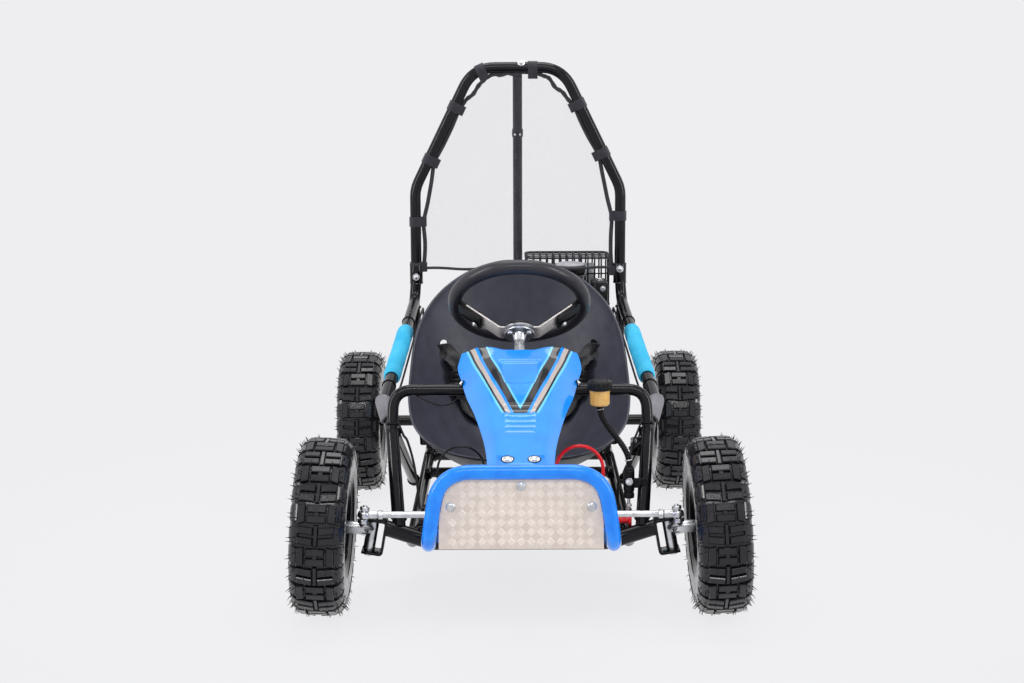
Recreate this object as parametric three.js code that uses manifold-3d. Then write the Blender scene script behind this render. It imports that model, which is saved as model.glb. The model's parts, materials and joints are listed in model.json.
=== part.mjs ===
// Off road go kart for a child: tube frame, live rear axle behind a bucket seat, roll hoop with a net.
// Millimetres. +Z is up, the kart faces -Y, +X is the driver's left.
// The origin is on the ground, midway between the axles.
import * as THREE from "three";
import { mergeVertices } from "three/addons/utils/BufferGeometryUtils.js";
import Module from "manifold-3d";

const wasm = await Module();
wasm.setup();

// Stance
const wheelbase = 900;
const frontTrack = 730;
const rearTrack = 742;
const endReach = 678;
const camberAngle = 3;
const fit = 0.3;
const overrun = 4;

// Tyres and rims
const tyreRadius = 165;
const treadPitches = 16;
const crownRadius = 156;
const crownHalfWidth = 41;
const sidewallRadius = 118;
const tyreHalfWidth = 50;
const beadHalfWidth = 36;
const beadRadius = 77.8;
const tyreWall = 7;
const lugGap = 8;
const lugHalfWidth = 37;
const lugRoot = 5;
const lugLengthShare = 0.46;
const rimRadius = 76;
const rimFlangeRadius = 85;
const rimWall = 3;
const rimDiscOffset = 8;
const hubRadius = 24;
const frontHubHalfLength = 24;
const rearHubInner = 34;
const rearHubOuter = 13;

// Frame tubes
const frameRadius = 12.5;
const railX = 205;
const railZ = 118;
const railFrontY = 390;
const rearBarZ = 160;
const rearKick = 60;
const frameBend = 45;
const crossRadius = 11;
const crossFrontY = 180;
const crossRearY = 290;
const beamRadius = 15;
const beamEndX = 252;
const beamEndZ = 163;
const beamBendX = 165;
const beamLowZ = 135;
const kneeX = 240;
const kneeY = 392;
const kneeZ = 462;
const kneeBend = 40;
const stubTopZ = 524;
const elbowX = 266;
const elbowY = 225;
const elbowZ = 358;
const jointX = 245;
const jointY = 328;
const jointZ = 317;
const footX = 226;
const uprightX = 222;
const uprightY = 404;
const braceFootX = 227.3;
const braceFootY = 60;
const braceTopX = 244;
const braceTopY = 300;
const braceTopZ = 312;

// Front leg hoop and the column's upper bearing
const legRadius = 11;
const legHoopX = 243;
const legHoopY = 300;
const legHoopZ = 393;
const legBend = 38;
const columnBlockRadius = 17;
const columnBlockLength = 34;
const columnStrapWidth = 20;

// Roll hoop, sleeves and rear strut
const hoopX = 236;
const hoopY = 400;
const hoopTopX = 101;
const hoopTopZ = 996.5;
const hoopBendZ = 722;
const hoopTopBend = 80;
const sleeveRadius = 15;
const sleeveLength = 44;
const strutRadius = 11;
const strutCollarShare = 0.17;
const strutCollarLengthShare = 0.02;
const strutCollarWall = 2;

// Foam sleeves on the side tubes
const foamRadius = 18;
const foamFrontY = -104;
const foamRearY = 186;

// Front bumper and its plate
const bumperRadius = 13;
const bumperTopX = 142;
const bumperTopZ = 324;
const bumperLowX = 163;
const bumperLowZ = 190;
const bumperRearZ = 150;
const bumperCorner = 68;
const plateThick = 2;
const plateBottomZ = 186;
const tabWidth = 36;
const tabHeight = 22;
const tabThick = 3;
const sideTabZ = 262;
const fairingTabWidth = 84;

// Steering column, wheel and pitman
const rakeAngle = 40.7;
const wheelY = 143;
const wheelZ = 539;
const rimMajor = 129;
const rimMinor = 14;
const padInnerX = 76;
const padOuterX = 121;
const padWidth = 34;
const padThick = 12;
const spokeTipX = 104;
const spokeTipDrop = 16;
const hubDrop = 68;
const hubDiscRadius = 35;
const spokeThick = 3;
const spokeWidth = 38;
const spokeFlatX = 38;
const flangeRadius = 30;
const flangeThick = 5;
const shaftRadius = 10;
const shaftBelowPitman = 16;
const pitmanThick = 4;
const pitmanPinX = 16;
const pitmanLobe = 9;
const pitmanHub = 16;
const lowerBushRadius = 17;
const lowerBushLength = 14;

// Tie rods
const tieY = 500;
const tieZ = 202;
const tieEyeX = 287;
const tieRodRadius = 6;
const tieEyeRadius = 9.5;
const tieEyeHeight = 16;
const tiePinRadius = 4;
const tiePinTilt = 4.13;
const tiePinNutRadius = 8.5;
const forkLength = 30;
const forkWidth = 16;
const forkHeight = 28;
const forkSlot = 20;
const forkTipX = 5;
const forkWeb = 5;

// King pins, yokes and knuckles
const kingpinX = 278;
const kingpinZ = 150;
const kingpinLean = 10;
const kingpinRadius = 5;
const kingpinHeadRadius = 8.5;
const kingpinHeadHeight = 5;
const yokeThick = 5;
const yokeWidth = 36;
const yokeInner = 22;
const yokeOuter = 13;
const yokeHalfGap = 29;
const knuckleRadius = 11;
const knuckleHalfLength = 28;
const stubRadius = 8;
const stubNutRadius = 12;
const stubNutLength = 8;
const armRootY = 458;
const armThick = 7;
const armRootZ = 164;
const armTipDrop = 16;

// Floor pan
const panThick = 2;
const panFrontY = 425;
const panRearY = 100;
const panLip = 26;

// Seat
const seatHalfWidth = 228;
const seatFrontY = 165;
const seatBackY = 246;
const seatFrontZ = 222;
const seatBackZ = 571;
const seatWall = 5;
const seatPanY = 120;
const seatPanZ = 182;
const seatCentreY = 60;
const seatCentreZ = 350;
const seatBulge = 72;
const seatRimXShares = [0, 0.44, 0.755, 0.935, 1, 1, 0.965, 0.868, 0.7, 0.46, 0.2, 0];
const seatRimYShares = [0, 0.017, 0.072, 0.176, 0.337, 0.518, 0.675, 0.795, 0.892, 0.964, 0.995, 1];
const seatRimZShares = [0, 0.011, 0.06, 0.148, 0.256, 0.399, 0.578, 0.729, 0.849, 0.943, 0.994, 1];
const seatRingShares = [0, 0.16, 0.42, 0.72];
const slotX = 166;
const slotZ = 387;
const slotWidth = 14;
const slotHeight = 40;

// Harness belts and buckle
const beltWidth = 34;
const beltThick = 4;
const beltLift = 3;
const beltRimIndex = 7;
const beltShares = [0.1, 0.16, 0.42, 0.72];
const buckleWidth = 46;
const buckleLength = 62;
const buckleThick = 16;

// Side guards
const guardTopShare = 0.04;
const guardFootShare = 0.72;
const guardThick = 4;
const guardShift = 10;
const guardLap = 1.2;

// Fairing
const fairingTopY = 240;
const fairingBottomY = 640;
const fairingTopZ = 465;
const fairingBottomZ = 331;
const fairingWall = 3;
const fairingWidths = [113, 120, 113, 101, 83, 65, 57];
const fairingDrops = [10, 27, 34, 34, 26, 22, 14];
const fairingStationShares = [0, 0.06, 0.14, 0.3, 0.5, 0.75, 1];
const fairingAcrossShares = [0, 0.3, 0.62, 0.86, 1];
const fairingDropShares = [0, 0, 0.14, 0.34, 1];
const fairingTabShare = 0.92;
const fairingRibs = 5;
const fairingRibWidth = 52;
const fairingRibDepth = 5;
const fairingRibRise = 2;
const fairingRibStartShare = 0.52;
const fairingRibPitchShare = 0.043;

// Pedals
const pedalX = 111;
const pedalPivotY = 436;
const pedalPivotZ = 172;
const pedalTopY = 402;
const pedalTopZ = 306;
const pedalLoopHalf = 44;
const brakeWire = 3.3;
const throttleWire = 2.2;
const pedalShaftRadius = 6;
const pedalShaftInner = 50;
const brakeShaftOuter = 207;
const throttleShaftOuter = 190;
const leverThick = 6;
const leverRadius = 11;
const leverReach = 31;
const leverTipShare = 0.65;
const loopSteps = 10;
const pedalLugThick = 5;
const pedalGap = 3;
const pedalLugWidth = 16;

// Brake master cylinder, reservoir, hose and line
const masterX = 204;
const masterY = 405;
const masterLowZ = 207;
const masterTopZ = 268;
const masterRadius = 10.5;
const masterRodRadius = 3;
const masterRodInside = 6;
const pushrodGap = 1.2;
const masterFlangeZ = 226;
const masterFlangeHeight = 18;
const nozzleRadius = 2.8;
const nozzleLength = 2;
const reservoirX = 152;
const reservoirLowZ = 370;
const reservoirTopZ = 400;
const reservoirRadius = 19;
const reservoirCapRadius = 24;
const reservoirCapHeight = 17;
const capRibs = 16;
const capRibDepth = 1.4;
const hoseRadius = 6;
const hoseRibDepth = 1.2;
const hoseRibs = 15;
const hoseBore = 3.5;
const hoseDropShare = 0.45;
const lineRadius = 2.5;
const cableRadius = 2;
const lineBend = 14;
const brakeRoute = [
  [193.2, -405, 240],
  [184, -405, 240],
  [184, -388, 180],
  [198, -372, 142],
  [213, -350, 131.4],
  [213, 246, 131.4],
  [206, 264, 134.6],
  [188, 285, 133],
  [-128, 285, 132.6],
  [-140, 287, 152],
  [-140, 325, 215],
  [-140, 352, 243],
  [-140, 382, 246],
  [-140, 382, 224.4],
];
const cableRoute = [
  [-187, -395, 176],
  [-187, -380, 160],
  [-200, -362, 138],
  [-213, -340, 131.2],
  [-213, 256, 131.2],
  [-206, 275, 134.2],
  [-188, 296, 132.8],
  [150, 296, 132.2],
  [172, 306, 155],
  [186, 322, 230],
  [190, 346, 330],
  [190, 376, 392],
  [190, 404.3, 402],
];

// Rear axle, bearings, sprocket and brake
const axleRadius = 12.5;
const axleNutRadius = 17;
const axleNutLength = 9;
const bearingPlateThick = 6;
const bearingPlateHalf = 38;
const bearingNoseRadius = 23;
const bearingFlangeRadius = 32;
const bearingFlangeThick = 9;
const sprocketX = 30;
const sprocketRadius = 78;
const sprocketTeeth = 36;
const toothDepth = 4;
const toothTurnShares = [0, 0.5];
const sprocketThick = 4;
const sprocketHubRadius = 24;
const sprocketHubLength = 26;
const discX = 140;
const discRadius = 80;
const discThick = 4;
const discHoles = 5;
const discHoleRadius = 11;
const caliperWidth = 42;
const caliperLength = 44;
const caliperHeight = 46;
const caliperSlot = 8;

// Engine mount
const mountRadius = 10;
const mountZ = 201;
const mountFrontY = 350;
const mountRearY = 562;
const mountPlateX = 50;
const mountPlateWidth = 138;
const mountPlateThick = 6;

// Engine
const blockX = 62;
const blockWidth = 108;
const blockY = 376;
const blockDepth = 110;
const blockTopZ = 344;
const barrelInset = 10;
const finCount = 6;
const finThick = 4;
const finPitch = 13;
const finOverhang = 8;
const tankTopZ = 520;
const tankGap = 12;
const tankX = 52;
const tankWidth = 108;
const tankY = 378;
const tankDepth = 102;
const tankCorner = 18;
const tankNeckRadius = 22;
const tankNeckHeight = 6;
const tankFootSize = 14;
const fuelCapX = 122;
const fuelCapY = 442;
const fuelCapRadius = 36;
const fuelCapHeight = 24;
const recoilRadius = 70;
const recoilZ = 300;
const recoilDepth = 30;
const recoilDomeShare = 0.35;
const recoilDomeRadiusShare = 0.72;
const recoilHandleWidth = 14;
const recoilHandleLength = 46;
const filterX = 171;
const filterWidth = 38;
const filterY = 380;
const filterDepth = 84;
const filterLowZ = 440;
const filterTopZ = 503;
const filterCorner = 14;
const carbRadius = 17;
const carbY = 422;
const carbLowZ = 392;
const carbInletZ = 410;
const carbInletRadius = 12;
const mufflerX = 52;
const mufflerWidth = 132;
const mufflerY = 506;
const mufflerDepth = 78;
const mufflerLowZ = 452;
const mufflerTopZ = 528;
const mufflerCorner = 20;
const pipeRadius = 11;
const pipeX = 110;
const pipeZ = 398;
const pipeY = 530;
const pipeBend = 30;
const crankY = 430;
const crankZ = 290;
const crankRadius = 8;
const clutchSprocketRadius = 20;
const clutchTeeth = 10;
const clutchDrumRadius = 36;
const clutchDrumLength = 22;
const chainRise = 6;
const chainWidth = 8;
const chainGap = 1;

// Engine guard of welded wire
const guardWire = 2.5;
const guardPostRadius = 4;
const guardPostShares = [0.25, 0.75];
const cageX = 16;
const cageWidth = 204;
const cageY = 484;
const cageDepth = 126;
const cageTopZ = 549;
const cageLowZ = 436;
const cageCells = 6;
const cageRows = 2;
const cageCorner = 22;

// Cage net
const netThick = 2;
const netBottomZ = 538;
const netBottomHalf = 214;
const netTopZ = 979;
const netHemRadius = 5;
const netHalfShares = [1, 0.99, 0.86, 0.6, 0.42, 0.23];
const netHeightShares = [0, 0.26, 0.55, 0.81, 0.93, 1];
const strapWidth = 26;
const strapThick = 3;
const strapReach = 42;
const sideStrapZs = [564, 670];
const slantStrapShares = [0.29, 0.69];
const topStrapXs = [-36, 26];
const netColumns = 6;
const netRows = 7;
const netCord = 5;

const frontAxleY = -wheelbase / 2;
const rearAxleY = wheelbase / 2;
const deg = THREE.MathUtils.degToRad;
const lugHalfAngle = (Math.PI / treadPitches) * lugLengthShare;
const lugLength = 2 * tyreRadius * Math.tan(lugHalfAngle);
const rearAxleZ = tyreRadius;
const frontAxleZ = tyreRadius * Math.cos(deg(camberAngle)) + lugHalfWidth * Math.sin(deg(camberAngle));
const bumperY = -(endReach - bumperRadius);
const rearBarY = endReach - frameRadius;

const parts = new THREE.Group();

const paintBlack = new THREE.MeshStandardMaterial({ color: 0x1b1b1f, roughness: 0.3, metalness: 0.1 });
const paintBlue = new THREE.MeshStandardMaterial({ color: 0x2f86ee, roughness: 0.28, metalness: 0.1 });
const paintRed = new THREE.MeshStandardMaterial({ color: 0xd6262e, roughness: 0.35, metalness: 0.1 });
const zinc = new THREE.MeshStandardMaterial({ color: 0xc9ccd0, roughness: 0.32, metalness: 0.9 });
const steel = new THREE.MeshStandardMaterial({ color: 0x9a9ca0, roughness: 0.4, metalness: 0.9 });
const aluminium = new THREE.MeshStandardMaterial({ color: 0xcfcac8, roughness: 0.45, metalness: 0.8 });
const rubber = new THREE.MeshStandardMaterial({ color: 0x17171a, roughness: 0.6, metalness: 0 });
const blackPlastic = new THREE.MeshStandardMaterial({ color: 0x202024, roughness: 0.5, metalness: 0 });
const seatPlastic = new THREE.MeshStandardMaterial({ color: 0x3c3e49, roughness: 0.45, metalness: 0 });
const greyPlastic = new THREE.MeshStandardMaterial({ color: 0xb9bbc0, roughness: 0.4, metalness: 0 });
const bluePlastic = new THREE.MeshStandardMaterial({ color: 0x2d8cf0, roughness: 0.2, metalness: 0 });
const cyanFoam = new THREE.MeshStandardMaterial({ color: 0x50c3f0, roughness: 0.8, metalness: 0 });
const webbing = new THREE.MeshStandardMaterial({ color: 0x232327, roughness: 0.9, metalness: 0 });
const netCloth = new THREE.MeshStandardMaterial({ color: 0xe2e0e6, roughness: 0.9, metalness: 0 });
const amber = new THREE.MeshStandardMaterial({ color: 0xe2b15c, roughness: 0.3, metalness: 0 });

function vec(x, y, z) {
  return new THREE.Vector3(x, y, z);
}

// A closed geometry as a solid that can be joined and cut.
function solidOf(geometry) {
  const bare = geometry.index ? geometry.toNonIndexed() : geometry.clone();
  bare.deleteAttribute("normal");
  bare.deleteAttribute("uv");
  const merged = mergeVertices(bare);
  return new wasm.Manifold(
    new wasm.Mesh({
      numProp: 3,
      vertProperties: merged.attributes.position.array,
      triVerts: new Uint32Array(merged.index.array),
    }),
  );
}

function geometryOf(solid) {
  const mesh = solid.getMesh();
  const geometry = new THREE.BufferGeometry();
  geometry.setAttribute("position", new THREE.BufferAttribute(new Float32Array(mesh.vertProperties), 3));
  geometry.setIndex(new THREE.BufferAttribute(new Uint32Array(mesh.triVerts), 1));
  geometry.computeVertexNormals();
  return geometry;
}

function join(...solids) {
  return solids.reduce((whole, piece) => whole.add(piece));
}

function cut(solid, ...tools) {
  return tools.reduce((rest, tool) => rest.subtract(tool), solid);
}

function place(name, solid, material, holder = parts) {
  const mesh = new THREE.Mesh(geometryOf(solid), material);
  mesh.name = name;
  holder.add(mesh);
  return mesh;
}

// The same solid on the driver's left and, mirrored, on the right.
function placePair(name, solid, material) {
  place(name + "_left", solid, material);
  place(name + "_right", solid, material).scale.x = -1;
}

function moved(geometry, x, y, z) {
  return solidOf(geometry.clone().translate(x, y, z));
}

// A solid carried by a matrix; a mirroring matrix has its faces turned back outwards.
function carried(solid, matrix) {
  const geometry = geometryOf(solid).applyMatrix4(matrix);
  return solidOf(matrix.determinant() < 0 ? flipped(geometry) : geometry);
}

function mirror(solid) {
  return carried(solid, new THREE.Matrix4().makeScale(-1, 1, 1));
}

// Radius of a bore of flat sides that clears a round piece by the fit.
function boreFor(radius, sides = 12) {
  return (radius + fit) / Math.cos(Math.PI / sides);
}

function bothSides(solid) {
  return solid.add(mirror(solid));
}

// A box from its low corner and its size.
function boxAt(x, y, z, width, depth, height) {
  return moved(new THREE.BoxGeometry(width, depth, height), x + width / 2, y + depth / 2, z + height / 2);
}

// A round bar between two points.
function bar(from, to, radius, sides = 8) {
  const along = to.clone().sub(from);
  const geometry = new THREE.CylinderGeometry(radius, radius, along.length(), sides);
  const turn = new THREE.Quaternion().setFromUnitVectors(vec(0, 1, 0), along.normalize());
  geometry.applyQuaternion(turn);
  const middle = from.clone().add(to).multiplyScalar(0.5);
  return moved(geometry, middle.x, middle.y, middle.z);
}

// A polyline whose corners are rounded into arcs.
function rounded(points, bendRadius) {
  const path = [points[0]];
  for (let i = 1; i < points.length - 1; i++) {
    const before = points[i - 1].clone().sub(points[i]);
    const after = points[i + 1].clone().sub(points[i]);
    const room = 0.48 * Math.min(before.length(), after.length());
    const turn = Math.PI - before.angleTo(after);
    const reach = Math.min(bendRadius * Math.tan(turn / 2), room);
    const start = points[i].clone().add(before.setLength(reach));
    const end = points[i].clone().add(after.setLength(reach));
    const steps = Math.max(1, Math.round(turn / (Math.PI / 6)));
    for (let k = 0; k <= steps; k++) {
      const t = k / steps;
      const near = start.clone().lerp(points[i], t);
      path.push(near.lerp(points[i].clone().lerp(end, t), t));
    }
  }
  path.push(points[points.length - 1]);
  return path;
}

// A path that keeps exactly its own points as an extrusion's steps.
class PointPath extends THREE.Curve {
  constructor(points) {
    super();
    this.points = points;
  }
  getPointAt(u, target = new THREE.Vector3()) {
    return target.copy(this.points[Math.round(u * (this.points.length - 1))]);
  }
  getTangentAt(u, target = new THREE.Vector3()) {
    const last = this.points.length - 1;
    const i = Math.round(u * last);
    const before = this.points[Math.max(i - 1, 0)];
    const after = this.points[Math.min(i + 1, last)];
    const here = this.points[i];
    target.set(0, 0, 0);
    if (i > 0) target.add(here.clone().sub(before).normalize());
    if (i < last) target.add(after.clone().sub(here).normalize());
    return target.normalize();
  }
}

function circleShape(radius, sides) {
  const shape = new THREE.Shape();
  for (let i = 0; i < sides; i++) {
    const angle = (2 * Math.PI * i) / sides;
    const x = radius * Math.cos(angle);
    const y = radius * Math.sin(angle);
    if (i === 0) shape.moveTo(x, y);
    else shape.lineTo(x, y);
  }
  return shape;
}

function sweep(path, radius, sides) {
  const geometry = new THREE.ExtrudeGeometry(circleShape(radius, sides), {
    steps: path.length - 1,
    extrudePath: new PointPath(path),
    bevelEnabled: false,
  });
  return solidOf(geometry);
}

function tube(points, radius, bendRadius, sides = 8) {
  return sweep(rounded(points, bendRadius), radius, sides);
}

// A solid skinned over rings of equal counts of points, closed by flat ends or back to its first ring.
function loft(rings, endless = false) {
  const count = rings[0].length;
  const positions = rings.flat().flatMap((p) => [p.x, p.y, p.z]);
  const faces = [];
  const spans = endless ? rings.length : rings.length - 1;
  for (let r = 0; r < spans; r++) {
    const here = r * count;
    const there = ((r + 1) % rings.length) * count;
    for (let i = 0; i < count; i++) {
      const next = (i + 1) % count;
      faces.push(here + i, here + next, there + i, here + next, there + next, there + i);
    }
  }
  const last = (rings.length - 1) * count;
  for (let i = 1; i < count - 1 && !endless; i++) {
    faces.push(0, i + 1, i);
    faces.push(last, last + i, last + i + 1);
  }
  const geometry = new THREE.BufferGeometry();
  geometry.setAttribute("position", new THREE.Float32BufferAttribute(positions, 3));
  geometry.setIndex(faces);
  const solid = solidOf(geometry);
  return solid.volume() > 0 ? solid : solidOf(flipped(geometry));
}

function flipped(geometry) {
  const index = Array.from(geometry.index.array);
  for (let i = 0; i < index.length; i += 3) {
    [index[i + 1], index[i + 2]] = [index[i + 2], index[i + 1]];
  }
  geometry.setIndex(index);
  return geometry;
}

// A closed profile of [along, radius] pairs turned about X.
function turned(profile, segments) {
  const points = [...profile, profile[0]].map(([along, radius]) => new THREE.Vector2(radius, along));
  const geometry = new THREE.LatheGeometry(points, segments);
  geometry.rotateZ(-Math.PI / 2);
  const solid = solidOf(geometry);
  if (solid.volume() > 0) return solid;
  const reversed = new THREE.LatheGeometry(points.reverse(), segments);
  reversed.rotateZ(-Math.PI / 2);
  return solidOf(reversed);
}

// An outline in two axes pushed along the third. plane names the outline's axes.
function plate(outline, from, thickness, plane = "xz", holes = []) {
  const shape = new THREE.Shape(outline.map(([a, b]) => new THREE.Vector2(a, b)));
  shape.holes = holes.map((hole) => new THREE.Path(hole.map(([a, b]) => new THREE.Vector2(a, b))));
  const geometry = new THREE.ExtrudeGeometry(shape, { depth: thickness, bevelEnabled: false });
  const axes = {
    xz: [vec(1, 0, 0), vec(0, 0, 1), vec(0, -1, 0), vec(0, from + thickness, 0)],
    yz: [vec(0, 1, 0), vec(0, 0, 1), vec(1, 0, 0), vec(from, 0, 0)],
    xy: [vec(1, 0, 0), vec(0, 1, 0), vec(0, 0, 1), vec(0, 0, from)],
  };
  const [along, up, out, start] = axes[plane];
  geometry.applyMatrix4(new THREE.Matrix4().makeBasis(along, up, out));
  geometry.translate(start.x, start.y, start.z);
  return solidOf(geometry);
}

// Points round a circle, for outlines and holes.
function circlePoints(a, b, radius, sides = 12) {
  return Array.from({ length: sides }, (_, i) => {
    const angle = (2 * Math.PI * (i + 0.5)) / sides;
    return [a + radius * Math.cos(angle), b + radius * Math.sin(angle)];
  });
}

// A rectangle with rounded corners, from its low corner.
function roundedRect(a, b, width, height, corner, steps = 3) {
  const centres = [
    [a + width - corner, b + corner, -0.5],
    [a + width - corner, b + height - corner, 0],
    [a + corner, b + height - corner, 0.5],
    [a + corner, b + corner, 1],
  ];
  return centres.flatMap(([x, y, quarter]) =>
    Array.from({ length: steps + 1 }, (_, i) => {
      const angle = Math.PI * (quarter + i / (2 * steps));
      return [x + corner * Math.cos(angle), y + corner * Math.sin(angle)];
    }),
  );
}

function mirrored(points) {
  return points.map((p) => vec(-p.x, p.y, p.z));
}

// Wheels

// A hollow carcass whose tread carries two rows of lugs, half a pitch apart.
function tyreSolid() {
  const outer = [
    [beadHalfWidth, beadRadius],
    [tyreHalfWidth, sidewallRadius],
    [crownHalfWidth, crownRadius],
  ];
  const inner = [
    [crownHalfWidth - tyreWall, crownRadius - tyreWall],
    [tyreHalfWidth - tyreWall, sidewallRadius],
    [beadHalfWidth - tyreWall, beadRadius],
  ];
  const flip = ([along, radius]) => [-along, radius];
  const profile = [...outer, ...outer.map(flip).reverse(), ...inner.map(flip).reverse(), ...inner];
  const root = crownRadius - lugRoot;
  const lugProfile = [
    [lugGap / 2, root],
    [crownHalfWidth - lugRoot / 2, root],
    [lugHalfWidth, tyreRadius],
    [lugGap / 2, tyreRadius],
  ];
  const lug = plate(lugProfile, -lugLength / 2, lugLength, "xz");
  const pitch = (2 * Math.PI) / treadPitches;
  const lugs = [];
  for (let i = 0; i < treadPitches; i++) {
    lugs.push(carried(lug, new THREE.Matrix4().makeRotationX(pitch * i)));
    lugs.push(carried(mirror(lug), new THREE.Matrix4().makeRotationX(pitch * (i + 1 / 2))));
  }
  const quarter = new THREE.Matrix4().makeRotationX(pitch / 4);
  return join(carried(turned(profile, treadPitches), quarter), ...lugs);
}

function rimSolid(bore, hubInner, hubOuter) {
  const bed = rimRadius - rimWall;
  const lip = beadHalfWidth + 2 * rimWall;
  const profile = [
    [-hubInner, bore],
    [hubOuter, bore],
    [hubOuter, hubRadius],
    [rimDiscOffset + rimWall, hubRadius],
    [rimDiscOffset + rimWall, bed],
    [lip, bed],
    [lip, rimFlangeRadius],
    [beadHalfWidth + rimWall / 2, rimRadius],
    [-beadHalfWidth - rimWall / 2, rimRadius],
    [-lip, rimFlangeRadius],
    [-lip, bed],
    [rimDiscOffset, bed],
    [rimDiscOffset, hubRadius],
    [-hubInner, hubRadius],
  ];
  return turned(profile, treadPitches);
}

function placeWheels() {
  const tyre = tyreSolid();
  const frontRim = rimSolid(boreFor(stubRadius, treadPitches), frontHubHalfLength, frontHubHalfLength);
  const rearRim = rimSolid(boreFor(axleRadius, treadPitches), rearHubInner, rearHubOuter);
  for (const side of [1, -1]) {
    const hand = side > 0 ? "left" : "right";
    const front = new THREE.Group();
    front.position.set((side * frontTrack) / 2, frontAxleY, frontAxleZ);
    front.rotation.y = deg(-side * camberAngle);
    front.scale.x = side;
    parts.add(front);
    place("front_tyre_" + hand, tyre, rubber, front).rotation.x = Math.PI / treadPitches;
    place("front_rim_" + hand, frontRim, paintBlack, front);
    const rear = new THREE.Group();
    rear.position.set((side * rearTrack) / 2, rearAxleY, rearAxleZ);
    rear.scale.x = side;
    parts.add(rear);
    place("rear_tyre_" + hand, tyre, rubber, rear);
    place("rear_rim_" + hand, rearRim, paintBlack, rear);
  }
}

// Steering column frame: +Z runs up the column to the driver, -Y up and forward in the wheel's plane.

const columnMatrix = new THREE.Matrix4()
  .makeRotationX(-deg(rakeAngle))
  .setPosition(0, -wheelY, wheelZ);

function inColumn(x, y, z) {
  return vec(x, y, z).applyMatrix4(columnMatrix.clone().invert());
}

const tieInColumn = inColumn(0, -tieY, tieZ);

// Frame

function beamSolid(grow = 0) {
  const end = vec(beamEndX, frontAxleY, beamEndZ);
  const bend = vec(beamBendX, frontAxleY, beamLowZ);
  return tube([...mirrored([end, bend]), bend, end], beamRadius + grow, frameBend, 12);
}

// A piece built upright about its king pin, set at the pin's place and lean.
function leaned(solid) {
  const matrix = new THREE.Matrix4().makeRotationY(-deg(kingpinLean));
  return carried(solid, matrix.setPosition(kingpinX, frontAxleY, kingpinZ));
}

function yokeSolid() {
  const high = yokeHalfGap + yokeThick;
  const outline = [
    [-yokeInner - yokeThick, -high],
    [yokeOuter, -high],
    [yokeOuter, -yokeHalfGap],
    [-yokeInner, -yokeHalfGap],
    [-yokeInner, yokeHalfGap],
    [yokeOuter, yokeHalfGap],
    [yokeOuter, high],
    [-yokeInner - yokeThick, high],
  ];
  const channel = plate(outline, -yokeWidth / 2, yokeWidth, "xz");
  const bore = bar(vec(0, 0, -high - overrun), vec(0, 0, high + overrun), boreFor(kingpinRadius, 8), 8);
  return leaned(cut(channel, bore));
}

function railPath() {
  const side = [
    vec(railX, frontAxleY + beamRadius / 2, beamLowZ + beamRadius),
    vec(railX, -railFrontY, railZ),
    vec(railX, rearBarY - rearKick, railZ),
    vec(railX, rearBarY, rearBarZ),
  ];
  return [...side, ...mirrored(side).reverse()];
}

function crossTube(y, z) {
  return bar(vec(-railX, y, z), vec(railX, y, z), crossRadius);
}

// Upright plate that carries one of the rear axle's bearings.
function bearingPlate() {
  const outline = roundedRect(
    rearAxleY - bearingPlateHalf,
    railZ,
    2 * bearingPlateHalf,
    rearAxleZ - railZ + bearingPlateHalf,
    bearingPlateHalf / 3,
    1,
  );
  const hole = circlePoints(rearAxleY, rearAxleZ, boreFor(bearingNoseRadius));
  return plate(outline, railX - bearingPlateThick / 2, bearingPlateThick, "yz", [hole]);
}

function mountBar(y) {
  const foot = vec(railX, y, railZ);
  const top = vec(railX, y, mountZ);
  return tube([...mirrored([foot, top]), top, foot], mountRadius, 2 * mountRadius, 8);
}

function engineMountPlate() {
  const low = mountZ + mountRadius / 2;
  const depth = mountRearY - mountFrontY + 2 * mountRadius;
  return boxAt(mountPlateX, mountFrontY - mountRadius, low, mountPlateWidth, depth, mountTop() - low);
}

function mountTop() {
  return mountZ + mountRadius + mountPlateThick;
}

// The bush at the foot of the steering shaft, on a lug welded to the axle beam.
function lowerBush() {
  const top = tieInColumn.z - pitmanThick - fit;
  const middle = vec(0, 0, top - lowerBushLength / 2);
  const ring = bar(vec(0, 0, top), vec(0, 0, top - lowerBushLength), lowerBushRadius, 12);
  const beam = inColumn(0, frontAxleY, beamLowZ);
  const lug = bar(middle, beam, lowerBushLength / 2, 8);
  const bore = bar(vec(0, 0, top + overrun), vec(0, 0, top - 2 * lowerBushLength), boreFor(shaftRadius), 12);
  return carried(cut(join(ring, lug), bore), columnMatrix);
}

// Two lugs on the axle beam that carry a pedal's shaft, either side of its loop.
function pedalLugs(wire) {
  const half = pedalLoopHalf + wire + pedalGap;
  const y = -pedalPivotY;
  const top = pedalPivotZ + pedalLugWidth / 2;
  const outline = [
    [frontAxleY, beamLowZ],
    [y + pedalLugWidth / 2, beamLowZ],
    [y + pedalLugWidth / 2, top],
    [y - pedalLugWidth / 2, top],
    [frontAxleY, pedalPivotZ],
  ];
  const hole = circlePoints(y, pedalPivotZ, boreFor(pedalShaftRadius, 8), 8);
  const lug = (x) => plate(outline, x, pedalLugThick, "yz", [hole]);
  return join(lug(pedalX - half - pedalLugThick), lug(pedalX + half));
}

function lowerFrame() {
  const low = seatLowest();
  return join(
    beamSolid(),
    tube(railPath(), frameRadius, frameBend),
    bothSides(yokeSolid()),
    crossTube(-crossFrontY, railZ),
    crossTube(crossRearY, railZ),
    crossTube(low.y, low.z - fit - crossRadius),
    bothSides(bearingPlate()),
    mountBar(mountFrontY),
    mountBar(mountRearY),
    engineMountPlate(),
    lowerBush(),
    bothSides(braceSolid()),
    pedalLugs(brakeWire),
    mirror(pedalLugs(throttleWire)),
  );
}

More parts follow.
